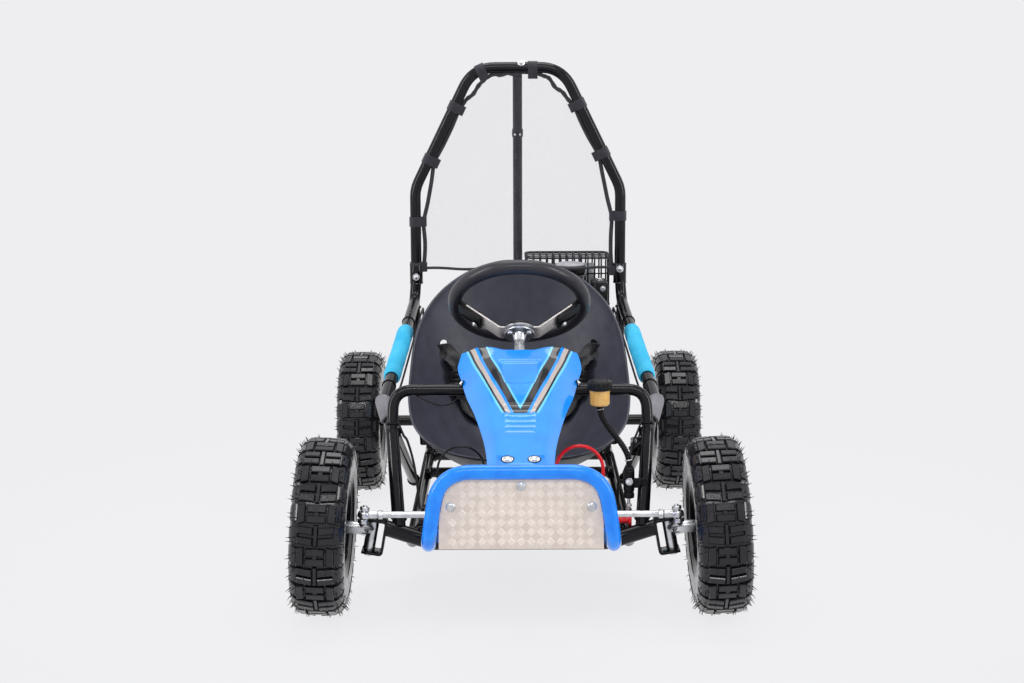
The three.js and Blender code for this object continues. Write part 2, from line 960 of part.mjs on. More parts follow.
// Diagonal brace from the rail up to the side tube, behind the front leg.
function braceSolid() {
  const foot = vec(braceFootX, braceFootY, railZ);
  const top = vec(braceTopX, -braceTopY, braceTopZ);
  return cut(bar(foot, top, crossRadius), sideTubeSolid(fit));
}

// Side tube: from the roll hoop's sleeve over the knee, forward through the foam, down to the axle beam.
function sideTubePath() {
  return [
    vec(hoopX, hoopY, stubTopZ),
    vec(kneeX, kneeY, kneeZ),
    vec(elbowX, -elbowY, elbowZ),
    vec(jointX, -jointY, jointZ),
    vec(footX, frontAxleY, beamEndZ),
  ];
}

function sideTubeSolid(grow = 0) {
  return tube(sideTubePath(), frameRadius + grow, kneeBend);
}

function uprightSolid() {
  return bar(vec(kneeX, kneeY, kneeZ), vec(uprightX, uprightY, railZ), crossRadius);
}

function placeSideTubes() {
  const rails = tube(railPath(), frameRadius + fit, frameBend);
  const solid = cut(join(sideTubeSolid(), uprightSolid()), beamSolid(fit), rails);
  placePair("side_tube", solid, paintBlack);
}

// A point on the straight run of the side tube, by its place along Y.
function sideTubePoint(y) {
  const [, knee, elbow] = sideTubePath();
  return knee.clone().lerp(elbow, (knee.y - y) / (knee.y - elbow.y));
}

function placeFoam() {
  const front = sideTubePoint(foamFrontY);
  const rear = sideTubePoint(foamRearY);
  placePair("foam_sleeve", cut(bar(front, rear, foamRadius, 12), sideTubeSolid(fit)), cyanFoam);
}

// Front leg hoop with the block that carries the steering column.
function placeLegHoop() {
  const leg = vec(jointX, -jointY, jointZ);
  const top = vec(legHoopX, -legHoopY, legHoopZ);
  const hoop = tube([...mirrored([leg, top]), top, leg], legRadius, legBend);
  const bridge = inColumn(0, -legHoopY, legHoopZ);
  const half = columnBlockLength / 2;
  const block = bar(vec(0, 0, bridge.z - half), vec(0, 0, bridge.z + half), columnBlockRadius, 14);
  const strapX = -columnStrapWidth / 2;
  const strap = boxAt(strapX, bridge.y, bridge.z - half, columnStrapWidth, -bridge.y, 2 * half);
  const long = half + overrun;
  const bore = bar(vec(0, 0, bridge.z - long), vec(0, 0, bridge.z + long), boreFor(shaftRadius, 14), 14);
  const carrier = carried(cut(join(block, strap), bore), columnMatrix);
  const sides = bothSides(sideTubeSolid(fit));
  place("front_leg_hoop", cut(join(hoop, carrier), sides), paintBlack);
}

// Roll hoop with its two bolted sleeves over the stubs of the side tubes.
function hoopPath() {
  return [
    vec(hoopX, hoopY, stubTopZ - sleeveLength / 2),
    vec(hoopX, hoopY, hoopBendZ),
    vec(hoopTopX, hoopY, hoopTopZ),
    vec(-hoopTopX, hoopY, hoopTopZ),
    vec(-hoopX, hoopY, hoopBendZ),
    vec(-hoopX, hoopY, stubTopZ - sleeveLength / 2),
  ];
}

function placeRollHoop() {
  const low = stubTopZ - sleeveLength / 2;
  const sleeve = bar(vec(hoopX, hoopY, low), vec(hoopX, hoopY, low + sleeveLength), sleeveRadius, 12);
  const hoop = join(tube(hoopPath(), frameRadius, hoopTopBend), bothSides(sleeve));
  const stub = bothSides(sideTubeSolid(fit));
  place("roll_hoop", cut(hoop, stub), paintBlack);
}

function placeStrut() {
  const top = vec(0, hoopY + frameRadius, hoopTopZ);
  const foot = vec(0, rearBarY, rearBarZ);
  const hoop = tube(hoopPath(), frameRadius + fit, hoopTopBend);
  const rails = tube(railPath(), frameRadius + fit, frameBend);
  const collarAt = top.clone().lerp(foot, strutCollarShare);
  const collarEnd = top.clone().lerp(foot, strutCollarShare + strutCollarLengthShare);
  const collar = bar(collarAt, collarEnd, strutRadius + strutCollarWall, 12);
  const strut = join(bar(top, foot, strutRadius), collar);
  place("rear_strut", cut(strut, hoop, rails), paintBlack);
}

// Front bumper: a hoop whose legs turn back to the axle beam, with three tabs for its plate.
function bumperPath() {
  const half = [
    vec(bumperLowX, frontAxleY - beamRadius / 2, bumperRearZ),
    vec(bumperLowX, bumperY, bumperLowZ),
    vec(bumperTopX, bumperY, bumperTopZ),
  ];
  return [...half, ...mirrored(half).reverse()];
}

function bumperTube(grow = 0) {
  const path = bumperPath();
  const rounding = rounded(path, bumperCorner);
  return sweep(rounding, bumperRadius + grow, 10);
}

function bumperTabs(grow = 0) {
  const y = bumperY + plateThick / 2 + fit - grow;
  const depth = tabThick + 2 * grow;
  const wide = tabWidth + 2 * grow;
  const high = tabHeight + 2 * grow;
  const sideX = bumperLowX - bumperRadius - tabWidth / 2;
  const side = boxAt(sideX - grow, y, sideTabZ - high / 2, wide, depth, high);
  const top = boxAt(-wide / 2, y, bumperTopZ - bumperRadius - high / 2, wide, depth, high);
  return join(top, bothSides(side));
}

// The tab under the fairing's foot, shaped by the fairing's underside.
function fairingTab() {
  const end = fairingSpine(1);
  const inner = fairingSpine(fairingTabShare);
  const outline = [
    [bumperY, bumperTopZ],
    [end.y, end.z - fairingWall / 2],
    [inner.y, inner.z - fairingWall / 2],
    [inner.y, inner.z - fairingWall - 2 * tabThick],
    [end.y, end.z - fairingWall - 2 * tabThick],
    [bumperY, bumperTopZ - tabThick],
  ];
  const slab = plate(outline, -fairingTabWidth / 2, fairingTabWidth, "yz");
  return largest(cut(slab, fairingShell(fit)));
}

function placeBumper() {
  const solid = join(bumperTube(), bumperTabs(), fairingTab());
  place("front_bumper", cut(solid, beamSolid(fit)), paintBlue);
}

function placeBumperPlate() {
  const slope = (bumperLowX - bumperTopX) / (bumperTopZ - bumperLowZ);
  const low = bumperLowX - (plateBottomZ - bumperLowZ) * slope - bumperRadius - fit;
  const outline = [
    [-low, plateBottomZ],
    [low, plateBottomZ],
    [bumperTopX, bumperTopZ],
    [-bumperTopX, bumperTopZ],
  ];
  const sheet = plate(outline, bumperY - plateThick / 2, plateThick, "xz");
  place("bumper_plate", largest(cut(sheet, bumperTube(fit))), aluminium);
}

// The biggest of a solid's separate bodies.
function largest(solid) {
  return solid.decompose().reduce((best, body) => (body.volume() > best.volume() ? body : best));
}

// Floor pan between the rails, with a raised lip at the front.
function placeFloorPan() {
  const half = railX - frameRadius - fit;
  const low = railZ + crossRadius + fit;
  const outline = [
    [-panRearY, low],
    [-panRearY, low + panThick],
    [-panFrontY + panLip, low + panThick],
    [-panFrontY, low + panThick + panLip],
    [-panFrontY - panThick, low + panLip],
    [-panFrontY + panLip - panThick, low],
  ];
  const sheet = plate(outline, -half, 2 * half, "yz");
  const rails = tube(railPath(), frameRadius + fit, frameBend);
  place("floor_pan", largest(cut(sheet, rails)), paintBlack);
}

// Bucket seat: rings of a bowl between its rim and its pan, thickened away from the bowl's middle.
const seatCentre = vec(0, seatCentreY, seatCentreZ);

function seatRimPoint(i) {
  const x = seatHalfWidth * seatRimXShares[i];
  const y = -seatFrontY + (seatBackY + seatFrontY) * seatRimYShares[i];
  const z = seatFrontZ + (seatBackZ - seatFrontZ) * seatRimZShares[i];
  return vec(x, y, z);
}

function seatPoint(rim, share) {
  const tilt = Math.atan2(seatBackZ - seatFrontZ, seatBackY + seatFrontY);
  const sag = seatBulge * 4 * share * (1 - share);
  const point = rim.clone().lerp(vec(0, seatPanY, seatPanZ), share);
  point.y += sag * Math.sin(tilt);
  point.z -= sag * Math.cos(tilt);
  return point;
}

function seatRim() {
  const half = seatRimXShares.map((_, i) => seatRimPoint(i));
  return [...half, ...mirrored(half.slice(1, -1)).reverse()];
}

function awayFromSeat(point, distance) {
  const out = point.clone().sub(seatCentre).normalize();
  return point.clone().addScaledVector(out, distance);
}

function seatLowest() {
  const outer = seatRingShares.flatMap((share) =>
    seatRim().map((rim) => awayFromSeat(seatPoint(rim, share), seatWall)),
  );
  return outer.reduce((low, p) => (p.z < low.z ? p : low));
}

// The bowl's shell; grow thickens it towards the driver.
function seatShell(grow = 0) {
  const rim = seatRim();
  const skin = seatRingShares.map((share) => rim.map((p) => seatPoint(p, share)));
  const inner = skin.map((ring) => ring.map((p) => awayFromSeat(p, -grow)));
  const outer = skin.map((ring) => ring.map((p) => awayFromSeat(p, seatWall)));
  return loft([...inner.reverse(), ...outer]);
}

function placeSeat() {
  const slot = boxAt(
    slotX - slotWidth / 2,
    seatCentreY - seatHalfWidth / 2,
    slotZ - slotHeight / 2,
    slotWidth,
    2 * seatHalfWidth,
    slotHeight,
  );
  place("seat", cut(seatShell(), bothSides(slot)), seatPlastic);
}

// A flat strap along a path inside the bowl, its face towards the bowl's middle.
function strapSolid(path, width, thickness) {
  const rings = path.map((point, i) => {
    const before = path[Math.max(i - 1, 0)];
    const after = path[Math.min(i + 1, path.length - 1)];
    const along = after.clone().sub(before).normalize();
    const inward = seatCentre.clone().sub(point);
    const across = along.clone().cross(inward).setLength(width / 2);
    const rise = across.clone().cross(along).setLength(thickness / 2);
    return [
      point.clone().add(across).add(rise),
      point.clone().sub(across).add(rise),
      point.clone().sub(across).sub(rise),
      point.clone().add(across).sub(rise),
    ];
  });
  return loft(rings);
}

// Harness: two belts from the seat's slots down the bowl to the buckle in its middle.
function placeBelt() {
  const rim = seatRimPoint(beltRimIndex);
  const last = seatRingShares[seatRingShares.length - 1];
  const front = seatPoint(seatRimPoint(0), last);
  const rear = seatPoint(seatRimPoint(seatRimXShares.length - 1), last);
  const middle = front.clone().lerp(rear, 0.5);
  const path = beltShares.map((share) => awayFromSeat(seatPoint(rim, share), -beltLift));
  const belt = strapSolid([...path, awayFromSeat(middle, -beltLift)], beltWidth, beltThick);
  const half = rear.clone().sub(front).setLength(buckleLength / 2);
  const ends = [middle.clone().sub(half), middle.clone().add(half)];
  const lifted = ends.map((p) => awayFromSeat(p, -buckleThick / 2));
  const buckle = strapSolid(lifted, buckleWidth, buckleThick);
  place("seat_belt", largest(cut(join(bothSides(belt), buckle), seatShell(fit))), webbing);
}

// Grey cover on the outboard upper side of the side tube, between its elbow and the front leg.
function placeSideGuards() {
  const [, , elbow, joint] = sideTubePath();
  const top = elbow.clone().lerp(joint, guardTopShare);
  const foot = elbow.clone().lerp(joint, guardFootShare);
  const outer = frameRadius + fit + guardThick;
  const shift = vec(-guardShift, 0, -guardShift);
  const above = elbow.clone().lerp(joint, -guardFootShare).add(shift);
  const below = elbow.clone().lerp(joint, 2 * guardFootShare).add(shift);
  const under = bar(above, below, outer + guardLap);
  placePair("side_guard", largest(cut(bar(top, foot, outer), under, sideTubeSolid(fit))), greyPlastic);
}

// Fairing
function fairingSpine(share) {
  const y = -fairingTopY + (fairingTopY - fairingBottomY) * share;
  return vec(0, y, fairingTopZ + (fairingBottomZ - fairingTopZ) * share);
}

// A curved skin over the spine; grow thickens it all over.
function fairingShell(grow = 0) {
  const rings = fairingStationShares.map((station, i) => {
    const spine = fairingSpine(station);
    const half = fairingWidths[i];
    const line = (inset, sink) =>
      fairingAcrossShares.map((share, k) => {
        const drop = fairingDrops[i] * fairingDropShares[k];
        return vec((half - inset) * share, spine.y, spine.z - drop - sink);
      });
    const outer = line(-grow, -grow);
    const inner = line(fairingWall + grow, fairingWall + grow);
    const outside = [...outer.slice().reverse(), ...mirrored(outer.slice(1))];
    const inside = [...mirrored(inner.slice(1)).reverse(), ...inner];
    return [...outside, ...inside];
  });
  return loft(rings);
}

function placeFairing() {
  const slope = Math.atan2(fairingTopZ - fairingBottomZ, fairingBottomY - fairingTopY);
  const ribs = Array.from({ length: fairingRibs }, (_, i) => {
    const at = fairingSpine(fairingRibStartShare + fairingRibPitchShare * i);
    const matrix = new THREE.Matrix4().makeRotationX(slope).setPosition(at);
    const low = -fairingWall / 2;
    const rib = boxAt(-fairingRibWidth / 2, 0, low, fairingRibWidth, fairingRibDepth, fairingRibRise - low);
    return carried(rib, matrix);
  });
  place("front_fairing", join(fairingShell(), ...ribs), bluePlastic);
}

// Steering column, wheel and links
function placeSteering() {
  const group = new THREE.Group();
  columnMatrix.decompose(group.position, group.quaternion, group.scale);
  parts.add(group);
  const torus = solidOf(new THREE.TorusGeometry(rimMajor, rimMinor, 8, 20));
  place("steering_wheel_rim", join(torus, bothSides(rimPad())), blackPlastic, group);
  const strip = spokeStrip();
  const disc = bar(vec(0, 0, -hubDrop - spokeThick), vec(0, 0, -hubDrop), hubDiscRadius, 20);
  place("steering_spokes", join(strip, disc), aluminium, group);
  const top = -hubDrop - spokeThick - fit;
  const foot = tieInColumn.z - pitmanThick - fit - lowerBushLength - shaftBelowPitman / 4;
  const flange = bar(vec(0, 0, top - flangeThick), vec(0, 0, top), flangeRadius, 16);
  const shaft = bar(vec(0, 0, foot), vec(0, 0, top), shaftRadius, 10);
  place("steering_shaft", join(shaft, flange, pitman()), zinc, group);
}

// The wheel's arms: one strip, bent to a flat-bottomed V, whose ends stand in the rim's pads.
function spokeStrip(grow = 0) {
  const tipX = spokeTipX + grow;
  const face = [
    [-tipX, grow - spokeTipDrop],
    [-spokeFlatX, grow - hubDrop],
    [spokeFlatX, grow - hubDrop],
    [tipX, grow - spokeTipDrop],
  ];
  const back = face.map(([x, z]) => [x, z - spokeThick - 2 * grow]).reverse();
  const wide = spokeWidth + 2 * grow;
  return plate([...back, ...face].reverse(), -wide / 2, wide, "xz");
}

// The height of the arms' upper face, along the wheel's axis, at a distance from that axis.
function spokeZ(x) {
  const slope = (hubDrop - spokeTipDrop) / (spokeTipX - spokeFlatX);
  return -hubDrop + (x - spokeFlatX) * slope;
}

// Moulded pad inside the rim, with the slot that an arm's end stands in.
function rimPad() {
  const half = padThick / 2;
  const outline = [
    [padInnerX, spokeZ(padInnerX) - spokeThick - half],
    [padOuterX, spokeZ(padOuterX) - spokeThick - half],
    [padOuterX, spokeZ(padOuterX) + half],
    [padInnerX, spokeZ(padInnerX) + half],
  ];
  return cut(plate(outline, -padWidth / 2, padWidth, "xz"), spokeStrip(fit));
}

// Plate on the shaft's foot whose two lobes stand in the tie rods' forks.
function pitman() {
  const low = tieInColumn.z - pitmanThick / 2;
  const hub = bar(vec(0, 0, low - pitmanThick / 2), vec(0, 0, low + 2 * pitmanThick), pitmanHub, 12);
  const lobeY = tieInColumn.y;
  const lobe = bar(vec(pitmanPinX, lobeY, low), vec(pitmanPinX, lobeY, low + pitmanThick), pitmanLobe, 12);
  const outline = [
    [-pitmanHub, 0],
    [-pitmanPinX - pitmanLobe, lobeY],
    [pitmanPinX + pitmanLobe, lobeY],
    [pitmanHub, 0],
  ];
  return join(hub, bothSides(lobe), plate(outline, low, pitmanThick, "xy"));
}

// A point on the axis of a tie rod's pin, which leans with the king pin.
function tiePinPoint(distance) {
  const lean = deg(kingpinLean);
  const axis = vec(-Math.sin(lean), Math.sin(deg(tiePinTilt)), Math.cos(lean)).normalize();
  return vec(tieEyeX, -tieY, tieZ).addScaledVector(axis, distance);
}

function placeTieRods() {
  const { y, z } = tieInColumn;
  const fork = boxAt(forkTipX, y - forkWidth / 2, z - forkHeight / 2, forkLength, forkWidth, forkHeight);
  const slotLength = forkLength - forkWeb + overrun;
  const slotX = forkTipX - overrun;
  const slot = boxAt(slotX, y - forkWidth, z - forkSlot / 2, slotLength, 2 * forkWidth, forkSlot);
  const rodX = forkTipX + forkLength - forkWeb / 2;
  const rod = bar(vec(rodX, -tieY, tieZ), vec(tieEyeX, -tieY, tieZ), tieRodRadius, 8);
  const half = tieEyeHeight / 2;
  const eye = bar(tiePinPoint(-half), tiePinPoint(half), tieEyeRadius, 12);
  const bore = bar(tiePinPoint(-tieEyeHeight), tiePinPoint(tieEyeHeight), boreFor(tiePinRadius), 12);
  placePair("tie_rod", cut(join(carried(cut(fork, slot), columnMatrix), rod, eye), bore), zinc);
}

// Knuckle on the king pin: tube, stub axle with nut, steering arm with the tie rod's pin.
function knuckleSolid() {
  const tall = knuckleHalfLength;
  const hub = leaned(bar(vec(0, 0, -tall), vec(0, 0, tall), knuckleRadius));
  const long = tall + overrun;
  const bore = leaned(bar(vec(0, 0, -long), vec(0, 0, long), boreFor(kingpinRadius, 8), 8));
  const wheel = vec(frontTrack / 2, frontAxleY, frontAxleZ);
  const out = vec(Math.cos(deg(camberAngle)), 0, Math.sin(deg(camberAngle)));
  const along = (distance) => wheel.clone().addScaledVector(out, distance);
  const root = along(kingpinX - frontTrack / 2);
  const hubEnd = frontHubHalfLength + fit;
  const stub = bar(root, along(hubEnd + stubNutLength + overrun), stubRadius);
  const shoulder = bar(root, along(-hubEnd), stubNutRadius);
  const nut = bar(along(hubEnd), along(hubEnd + stubNutLength), stubNutRadius, 6);
  const face = tieEyeHeight / 2 + fit;
  const tip = tiePinPoint(-armTipDrop);
  const end = tiePinPoint(face + armThick);
  const arm = bar(vec(kingpinX, -armRootY, armRootZ), tip, armThick);
  const boss = bar(tip, tiePinPoint(-face), tieEyeRadius);
  const pin = bar(tip, end, tiePinRadius);
  const pinNut = bar(tiePinPoint(face), end, tiePinNutRadius, 6);
  return join(cut(join(hub, stub, shoulder, nut, arm), bore), boss, pin, pinNut);
}

function placeFrontEnds() {
  placePair("knuckle", knuckleSolid(), zinc);
  const face = yokeHalfGap + yokeThick + fit;
  const end = face + kingpinHeadHeight;
  const head = bar(vec(0, 0, face), vec(0, 0, end), kingpinHeadRadius, 6);
  const nut = bar(vec(0, 0, -end), vec(0, 0, -face), kingpinHeadRadius, 6);
  placePair("kingpin", leaned(join(bar(vec(0, 0, -end), vec(0, 0, end), kingpinRadius, 8), head, nut)), zinc);
}

// Pedals: a wire loop on a cross shaft, with a lever at the shaft's outer end.
function pedalSolid(wire, shaftOuter, leverX) {
  const pivot = vec(pedalX, -pedalPivotY, pedalPivotZ);
  const rise = vec(0, pedalPivotY - pedalTopY, pedalTopZ - pedalPivotZ);
  const reach = rise.length() - pedalLoopHalf;
  const up = rise.normalize();
  const path = [pivot.clone().add(vec(-pedalLoopHalf, 0, 0))];
  for (let i = 0; i <= loopSteps; i++) {
    const angle = Math.PI * (1 - i / loopSteps);
    const side = vec(pedalLoopHalf * Math.cos(angle), 0, 0);
    path.push(pivot.clone().add(side).addScaledVector(up, reach + pedalLoopHalf * Math.sin(angle)));
  }
  path.push(pivot.clone().add(vec(pedalLoopHalf, 0, 0)));
  const inner = vec(pedalShaftInner, -pedalPivotY, pedalPivotZ);
  const shaft = bar(inner, vec(shaftOuter, -pedalPivotY, pedalPivotZ), pedalShaftRadius);
  const tip = -pedalPivotY + leverReach;
  const small = leverRadius * leverTipShare;
  const outline = [
    [-pedalPivotY - leverRadius, pedalPivotZ],
    [-pedalPivotY, pedalPivotZ - leverRadius],
    [tip, pedalPivotZ - small],
    [tip + small, pedalPivotZ],
    [tip, pedalPivotZ + small],
    [-pedalPivotY, pedalPivotZ + leverRadius],
  ];
  return join(sweep(path, wire, 6), shaft, plate(outline, leverX, leverThick, "yz"));
}

function placePedals() {
  place("brake_pedal", pedalSolid(brakeWire, brakeShaftOuter, brakeShaftOuter - leverThick), paintRed);
  const throttle = pedalSolid(throttleWire, throttleShaftOuter, throttleShaftOuter - leverThick);
  place("throttle_pedal", mirror(throttle), zinc);
}

// Brake master cylinder beside the left side tube, its rod, reservoir, hose and line
function masterPoint(z) {
  return vec(masterX, -masterY, z);
}

function placeMaster() {
  const body = bar(masterPoint(masterLowZ), masterPoint(masterTopZ), masterRadius, 14);
  const flangeWidth = kneeX - masterX;
  const flangeY = -masterY - tabThick;
  const flange = boxAt(masterX, flangeY, masterFlangeZ, flangeWidth, 2 * tabThick, masterFlangeHeight);
  const nozzle = bar(masterPoint(masterTopZ), masterPoint(masterTopZ + nozzleLength), nozzleRadius);
  const depth = masterLowZ + 4 * masterRodInside;
  const bore = bar(masterPoint(masterLowZ - overrun), masterPoint(depth), boreFor(masterRodRadius, 8), 8);
  const solid = cut(join(body, flange, nozzle), bore, sideTubeSolid(fit));
  place("master_cylinder", largest(solid), blackPlastic);
  const lever = pedalPivotZ + leverRadius * leverTipShare + pushrodGap;
  const rod = bar(masterPoint(lever), masterPoint(masterLowZ + masterRodInside), masterRodRadius);
  const fork = bar(masterPoint(lever), masterPoint(lever + leverThick), 2 * masterRodRadius);
  place("master_pushrod", join(rod, fork), zinc);
}

function reservoirPoint(z) {
  return vec(reservoirX, -legHoopY - legRadius - reservoirCapRadius - fit, z);
}

function placeReservoir() {
  const low = reservoirPoint(reservoirLowZ);
  const body = bar(low, reservoirPoint(reservoirTopZ), reservoirRadius, 14);
  const nozzle = bar(reservoirPoint(reservoirLowZ - nozzleLength), low, nozzleRadius);
  const shelfTop = legHoopZ - legRadius - fit;
  const shelfHalf = reservoirRadius / 2;
  const reach = -legHoopY - low.y;
  const shelf = boxAt(low.x - shelfHalf, low.y, shelfTop - tabThick, 2 * shelfHalf, reach, tabThick);
  place("fluid_reservoir", join(body, nozzle, shelf), amber);
  const teeth = Array.from({ length: 2 * capRibs }, (_, i) => {
    const angle = (Math.PI * i) / capRibs;
    const radius = reservoirCapRadius - (i % 2) * capRibDepth;
    return [low.x + radius * Math.cos(angle), low.y + radius * Math.sin(angle)];
  });
  const cap = plate(teeth, reservoirTopZ + fit, reservoirCapHeight, "xy");
  place("reservoir_cap", cap, blackPlastic);
}

// Ribbed hose from the reservoir's nozzle to the master cylinder's.
function placeHose() {
  const from = reservoirPoint(reservoirLowZ - fit);
  const to = masterPoint(masterTopZ + fit);
  const drop = hoseDropShare * (from.z - to.z);
  const below = from.clone().add(vec(0, 0, -drop));
  const above = to.clone().add(vec(0, 0, drop));
  const curve = new THREE.CubicBezierCurve3(from, below, above, to);
  const ring = (t, radius) => {
    const centre = curve.getPoint(t);
    const along = curve.getTangent(t);
    const across = along.clone().cross(vec(0, 1, 0)).normalize();
    const third = across.clone().cross(along);
    return Array.from({ length: 8 }, (_, i) => {
      const angle = (Math.PI * i) / 4;
      const side = across.clone().multiplyScalar(radius * Math.cos(angle));
      return centre.clone().add(side).addScaledVector(third, radius * Math.sin(angle));
    });
  };
  const count = 2 * hoseRibs;
  const reach = (i) => hoseRadius - (i % 2) * hoseRibDepth;
  const skin = Array.from({ length: count + 1 }, (_, i) => ring(i / count, reach(i)));
  const steps = Math.ceil(hoseRibs / 3);
  const bore = Array.from({ length: steps + 1 }, (_, i) => ring(i / steps, hoseBore + fit));
  place("reservoir_hose", loft([...skin, ...bore.reverse()], true), rubber);
}

// Brake line along the left rail and throttle cable along the right one.
function placeLines() {
  const route = (points) => points.map(([x, y, z]) => vec(x, y, z));
  place("brake_line", tube(route(brakeRoute), lineRadius, lineBend, 8), blackPlastic);
  place("throttle_cable", tube(route(cableRoute), cableRadius, lineBend, 8), blackPlastic);
}

// Rear axle assembly
function axleBar(fromX, toX, radius, sides = 12) {
  return bar(vec(fromX, rearAxleY, rearAxleZ), vec(toX, rearAxleY, rearAxleZ), radius, sides);
}

function placeAxle() {
  const hubEnd = rearTrack / 2 + rearHubOuter + fit;
  const end = hubEnd + axleNutLength;
  const nut = axleBar(hubEnd, end, axleNutRadius, 6);
  place("rear_axle", join(axleBar(-end, end, axleRadius), bothSides(nut)), paintBlack);
  const face = railX + bearingPlateThick / 2 + fit;
  const nose = axleBar(railX - bearingPlateThick, face, bearingNoseRadius);
  const flange = axleBar(face, face + bearingFlangeThick, bearingFlangeRadius, 14);
  const bore = axleBar(railX - bearingPlateHalf, railX + bearingPlateHalf, boreFor(axleRadius));
  placePair("axle_bearing", cut(join(nose, flange), bore), steel);
}

// A toothed wheel's outline in Y and Z: one root and one tip point per tooth.
function teethOutline(y, z, radius, teeth) {
  return Array.from({ length: teeth }, (_, i) => i).flatMap((i) =>
    toothTurnShares.map((share, k) => {
      const angle = (2 * Math.PI * (i + share)) / teeth;
      const reach = radius - (k === 0 ? toothDepth : 0);
      return [y + reach * Math.cos(angle), z + reach * Math.sin(angle)];
    }),
  );
}

function placeDrive() {
  const low = sprocketX - sprocketThick / 2;
  const outline = teethOutline(rearAxleY, rearAxleZ, sprocketRadius, sprocketTeeth);
  const wheel = plate(outline, low, sprocketThick, "yz");
  const hub = (x) => axleBar(x - sprocketHubLength / 2, x + sprocketHubLength / 2, sprocketHubRadius, 14);
  const bore = (x) => axleBar(x - sprocketHubLength, x + sprocketHubLength, boreFor(axleRadius));
  place("axle_sprocket", cut(join(wheel, hub(sprocketX)), bore(sprocketX)), steel);
  const around = Array.from({ length: discHoles }, (_, i) => (2 * Math.PI * i) / discHoles);
  const ring = (discRadius + sprocketHubRadius) / 2;
  const holes = around.map((angle) =>
    circlePoints(rearAxleY + ring * Math.cos(angle), rearAxleZ + ring * Math.sin(angle), discHoleRadius, 6),
  );
  const edge = circlePoints(rearAxleY, rearAxleZ, discRadius, 24);
  const disc = plate(edge, -discX - discThick / 2, discThick, "yz", holes);
  place("brake_disc", cut(join(disc, hub(-discX)), bore(-discX)), steel);
}

// Caliper on the front engine mount bar, its slot round the disc's edge.
function placeCaliper() {
  const y = mountFrontY + mountRadius + fit;
  const z = mountZ - caliperHeight / 2;
  const body = boxAt(-discX - caliperWidth / 2, y, z, caliperWidth, caliperLength, caliperHeight);
  const slotY = rearAxleY - discRadius - caliperSlot / 2;
  const slotHigh = caliperHeight + 2 * overrun;
  const slot = boxAt(-discX - caliperSlot / 2, slotY, z - overrun, caliperSlot, caliperLength, slotHigh);
  place("brake_caliper", cut(body, slot), blackPlastic);
}

// Clutch on the crankshaft: a drum and the chain's small sprocket.
function crankBar(fromX, toX, radius, sides = 12) {
  return bar(vec(fromX, crankY, crankZ), vec(toX, crankY, crankZ), radius, sides);
}

function placeClutch() {
  const low = sprocketX - sprocketThick / 2;
  const outline = teethOutline(crankY, crankZ, clutchSprocketRadius, clutchTeeth);
  const small = plate(outline, low, sprocketThick, "yz");
  const neck = crankBar(low, blockX - clutchDrumLength + overrun, clutchSprocketRadius - 2 * toothDepth);
  const drum = crankBar(blockX - fit - clutchDrumLength, blockX - fit, clutchDrumRadius, 20);
  const bore = crankBar(low - overrun, blockX + overrun, boreFor(crankRadius));
  place("clutch_drum", cut(join(small, neck, drum), bore), steel);
}

// Chain as one band round both sprockets, clear of their teeth.
function placeChain() {
  const apart = Math.hypot(rearAxleY - crankY, rearAxleZ - crankZ);
  const bearing = Math.atan2(crankZ - rearAxleZ, crankY - rearAxleY);
  const lean = Math.acos((sprocketRadius - clutchSprocketRadius) / apart);
  const arc = (y, z, radius, from, to, steps) =>
    Array.from({ length: steps + 1 }, (_, i) => {
      const angle = from + ((to - from) * i) / steps;
      return [y + radius * Math.cos(angle), z + radius * Math.sin(angle)];
    });
  const loop = (grow) => [
    ...arc(rearAxleY, rearAxleZ, sprocketRadius + grow, bearing + lean, bearing + 2 * Math.PI - lean, 18),
    ...arc(crankY, crankZ, clutchSprocketRadius + grow, bearing - lean, bearing + lean, 7),
  ];
  const bandX = sprocketX - chainWidth / 2;
  const band = plate(loop(chainGap + chainRise), bandX, chainWidth, "yz", [loop(chainGap)]);
  place("drive_chain", band, steel);
}

// Engine: crankcase, finned barrel and crank stub
function placeEngine() {
  const floor = mountTop() + fit;
  const crankcase = boxAt(blockX, blockY, floor, blockWidth, blockDepth, blockTopZ - floor);
  const tall = finPitch * finCount;
  const coreWidth = blockWidth - 2 * barrelInset;
  const coreDepth = blockDepth - 2 * barrelInset;
  const coreX = blockX + barrelInset;
  const core = boxAt(coreX, blockY + barrelInset, blockTopZ, coreWidth, coreDepth, tall + finThick);
  const fins = Array.from({ length: finCount }, (_, i) => {
    const z = blockTopZ + finPitch * (i + 1) - finThick;
    const inset = barrelInset - finOverhang;
    return boxAt(blockX + inset, blockY + inset, z, blockWidth - 2 * inset, blockDepth - 2 * inset, finThick);
  });
  const crank = crankBar(sprocketX - sprocketThick, blockX + overrun, crankRadius);
  place("engine_block", join(crankcase, core, ...fins, crank), aluminium);
}

function headTop() {
  return blockTopZ + finPitch * finCount + finThick;
}

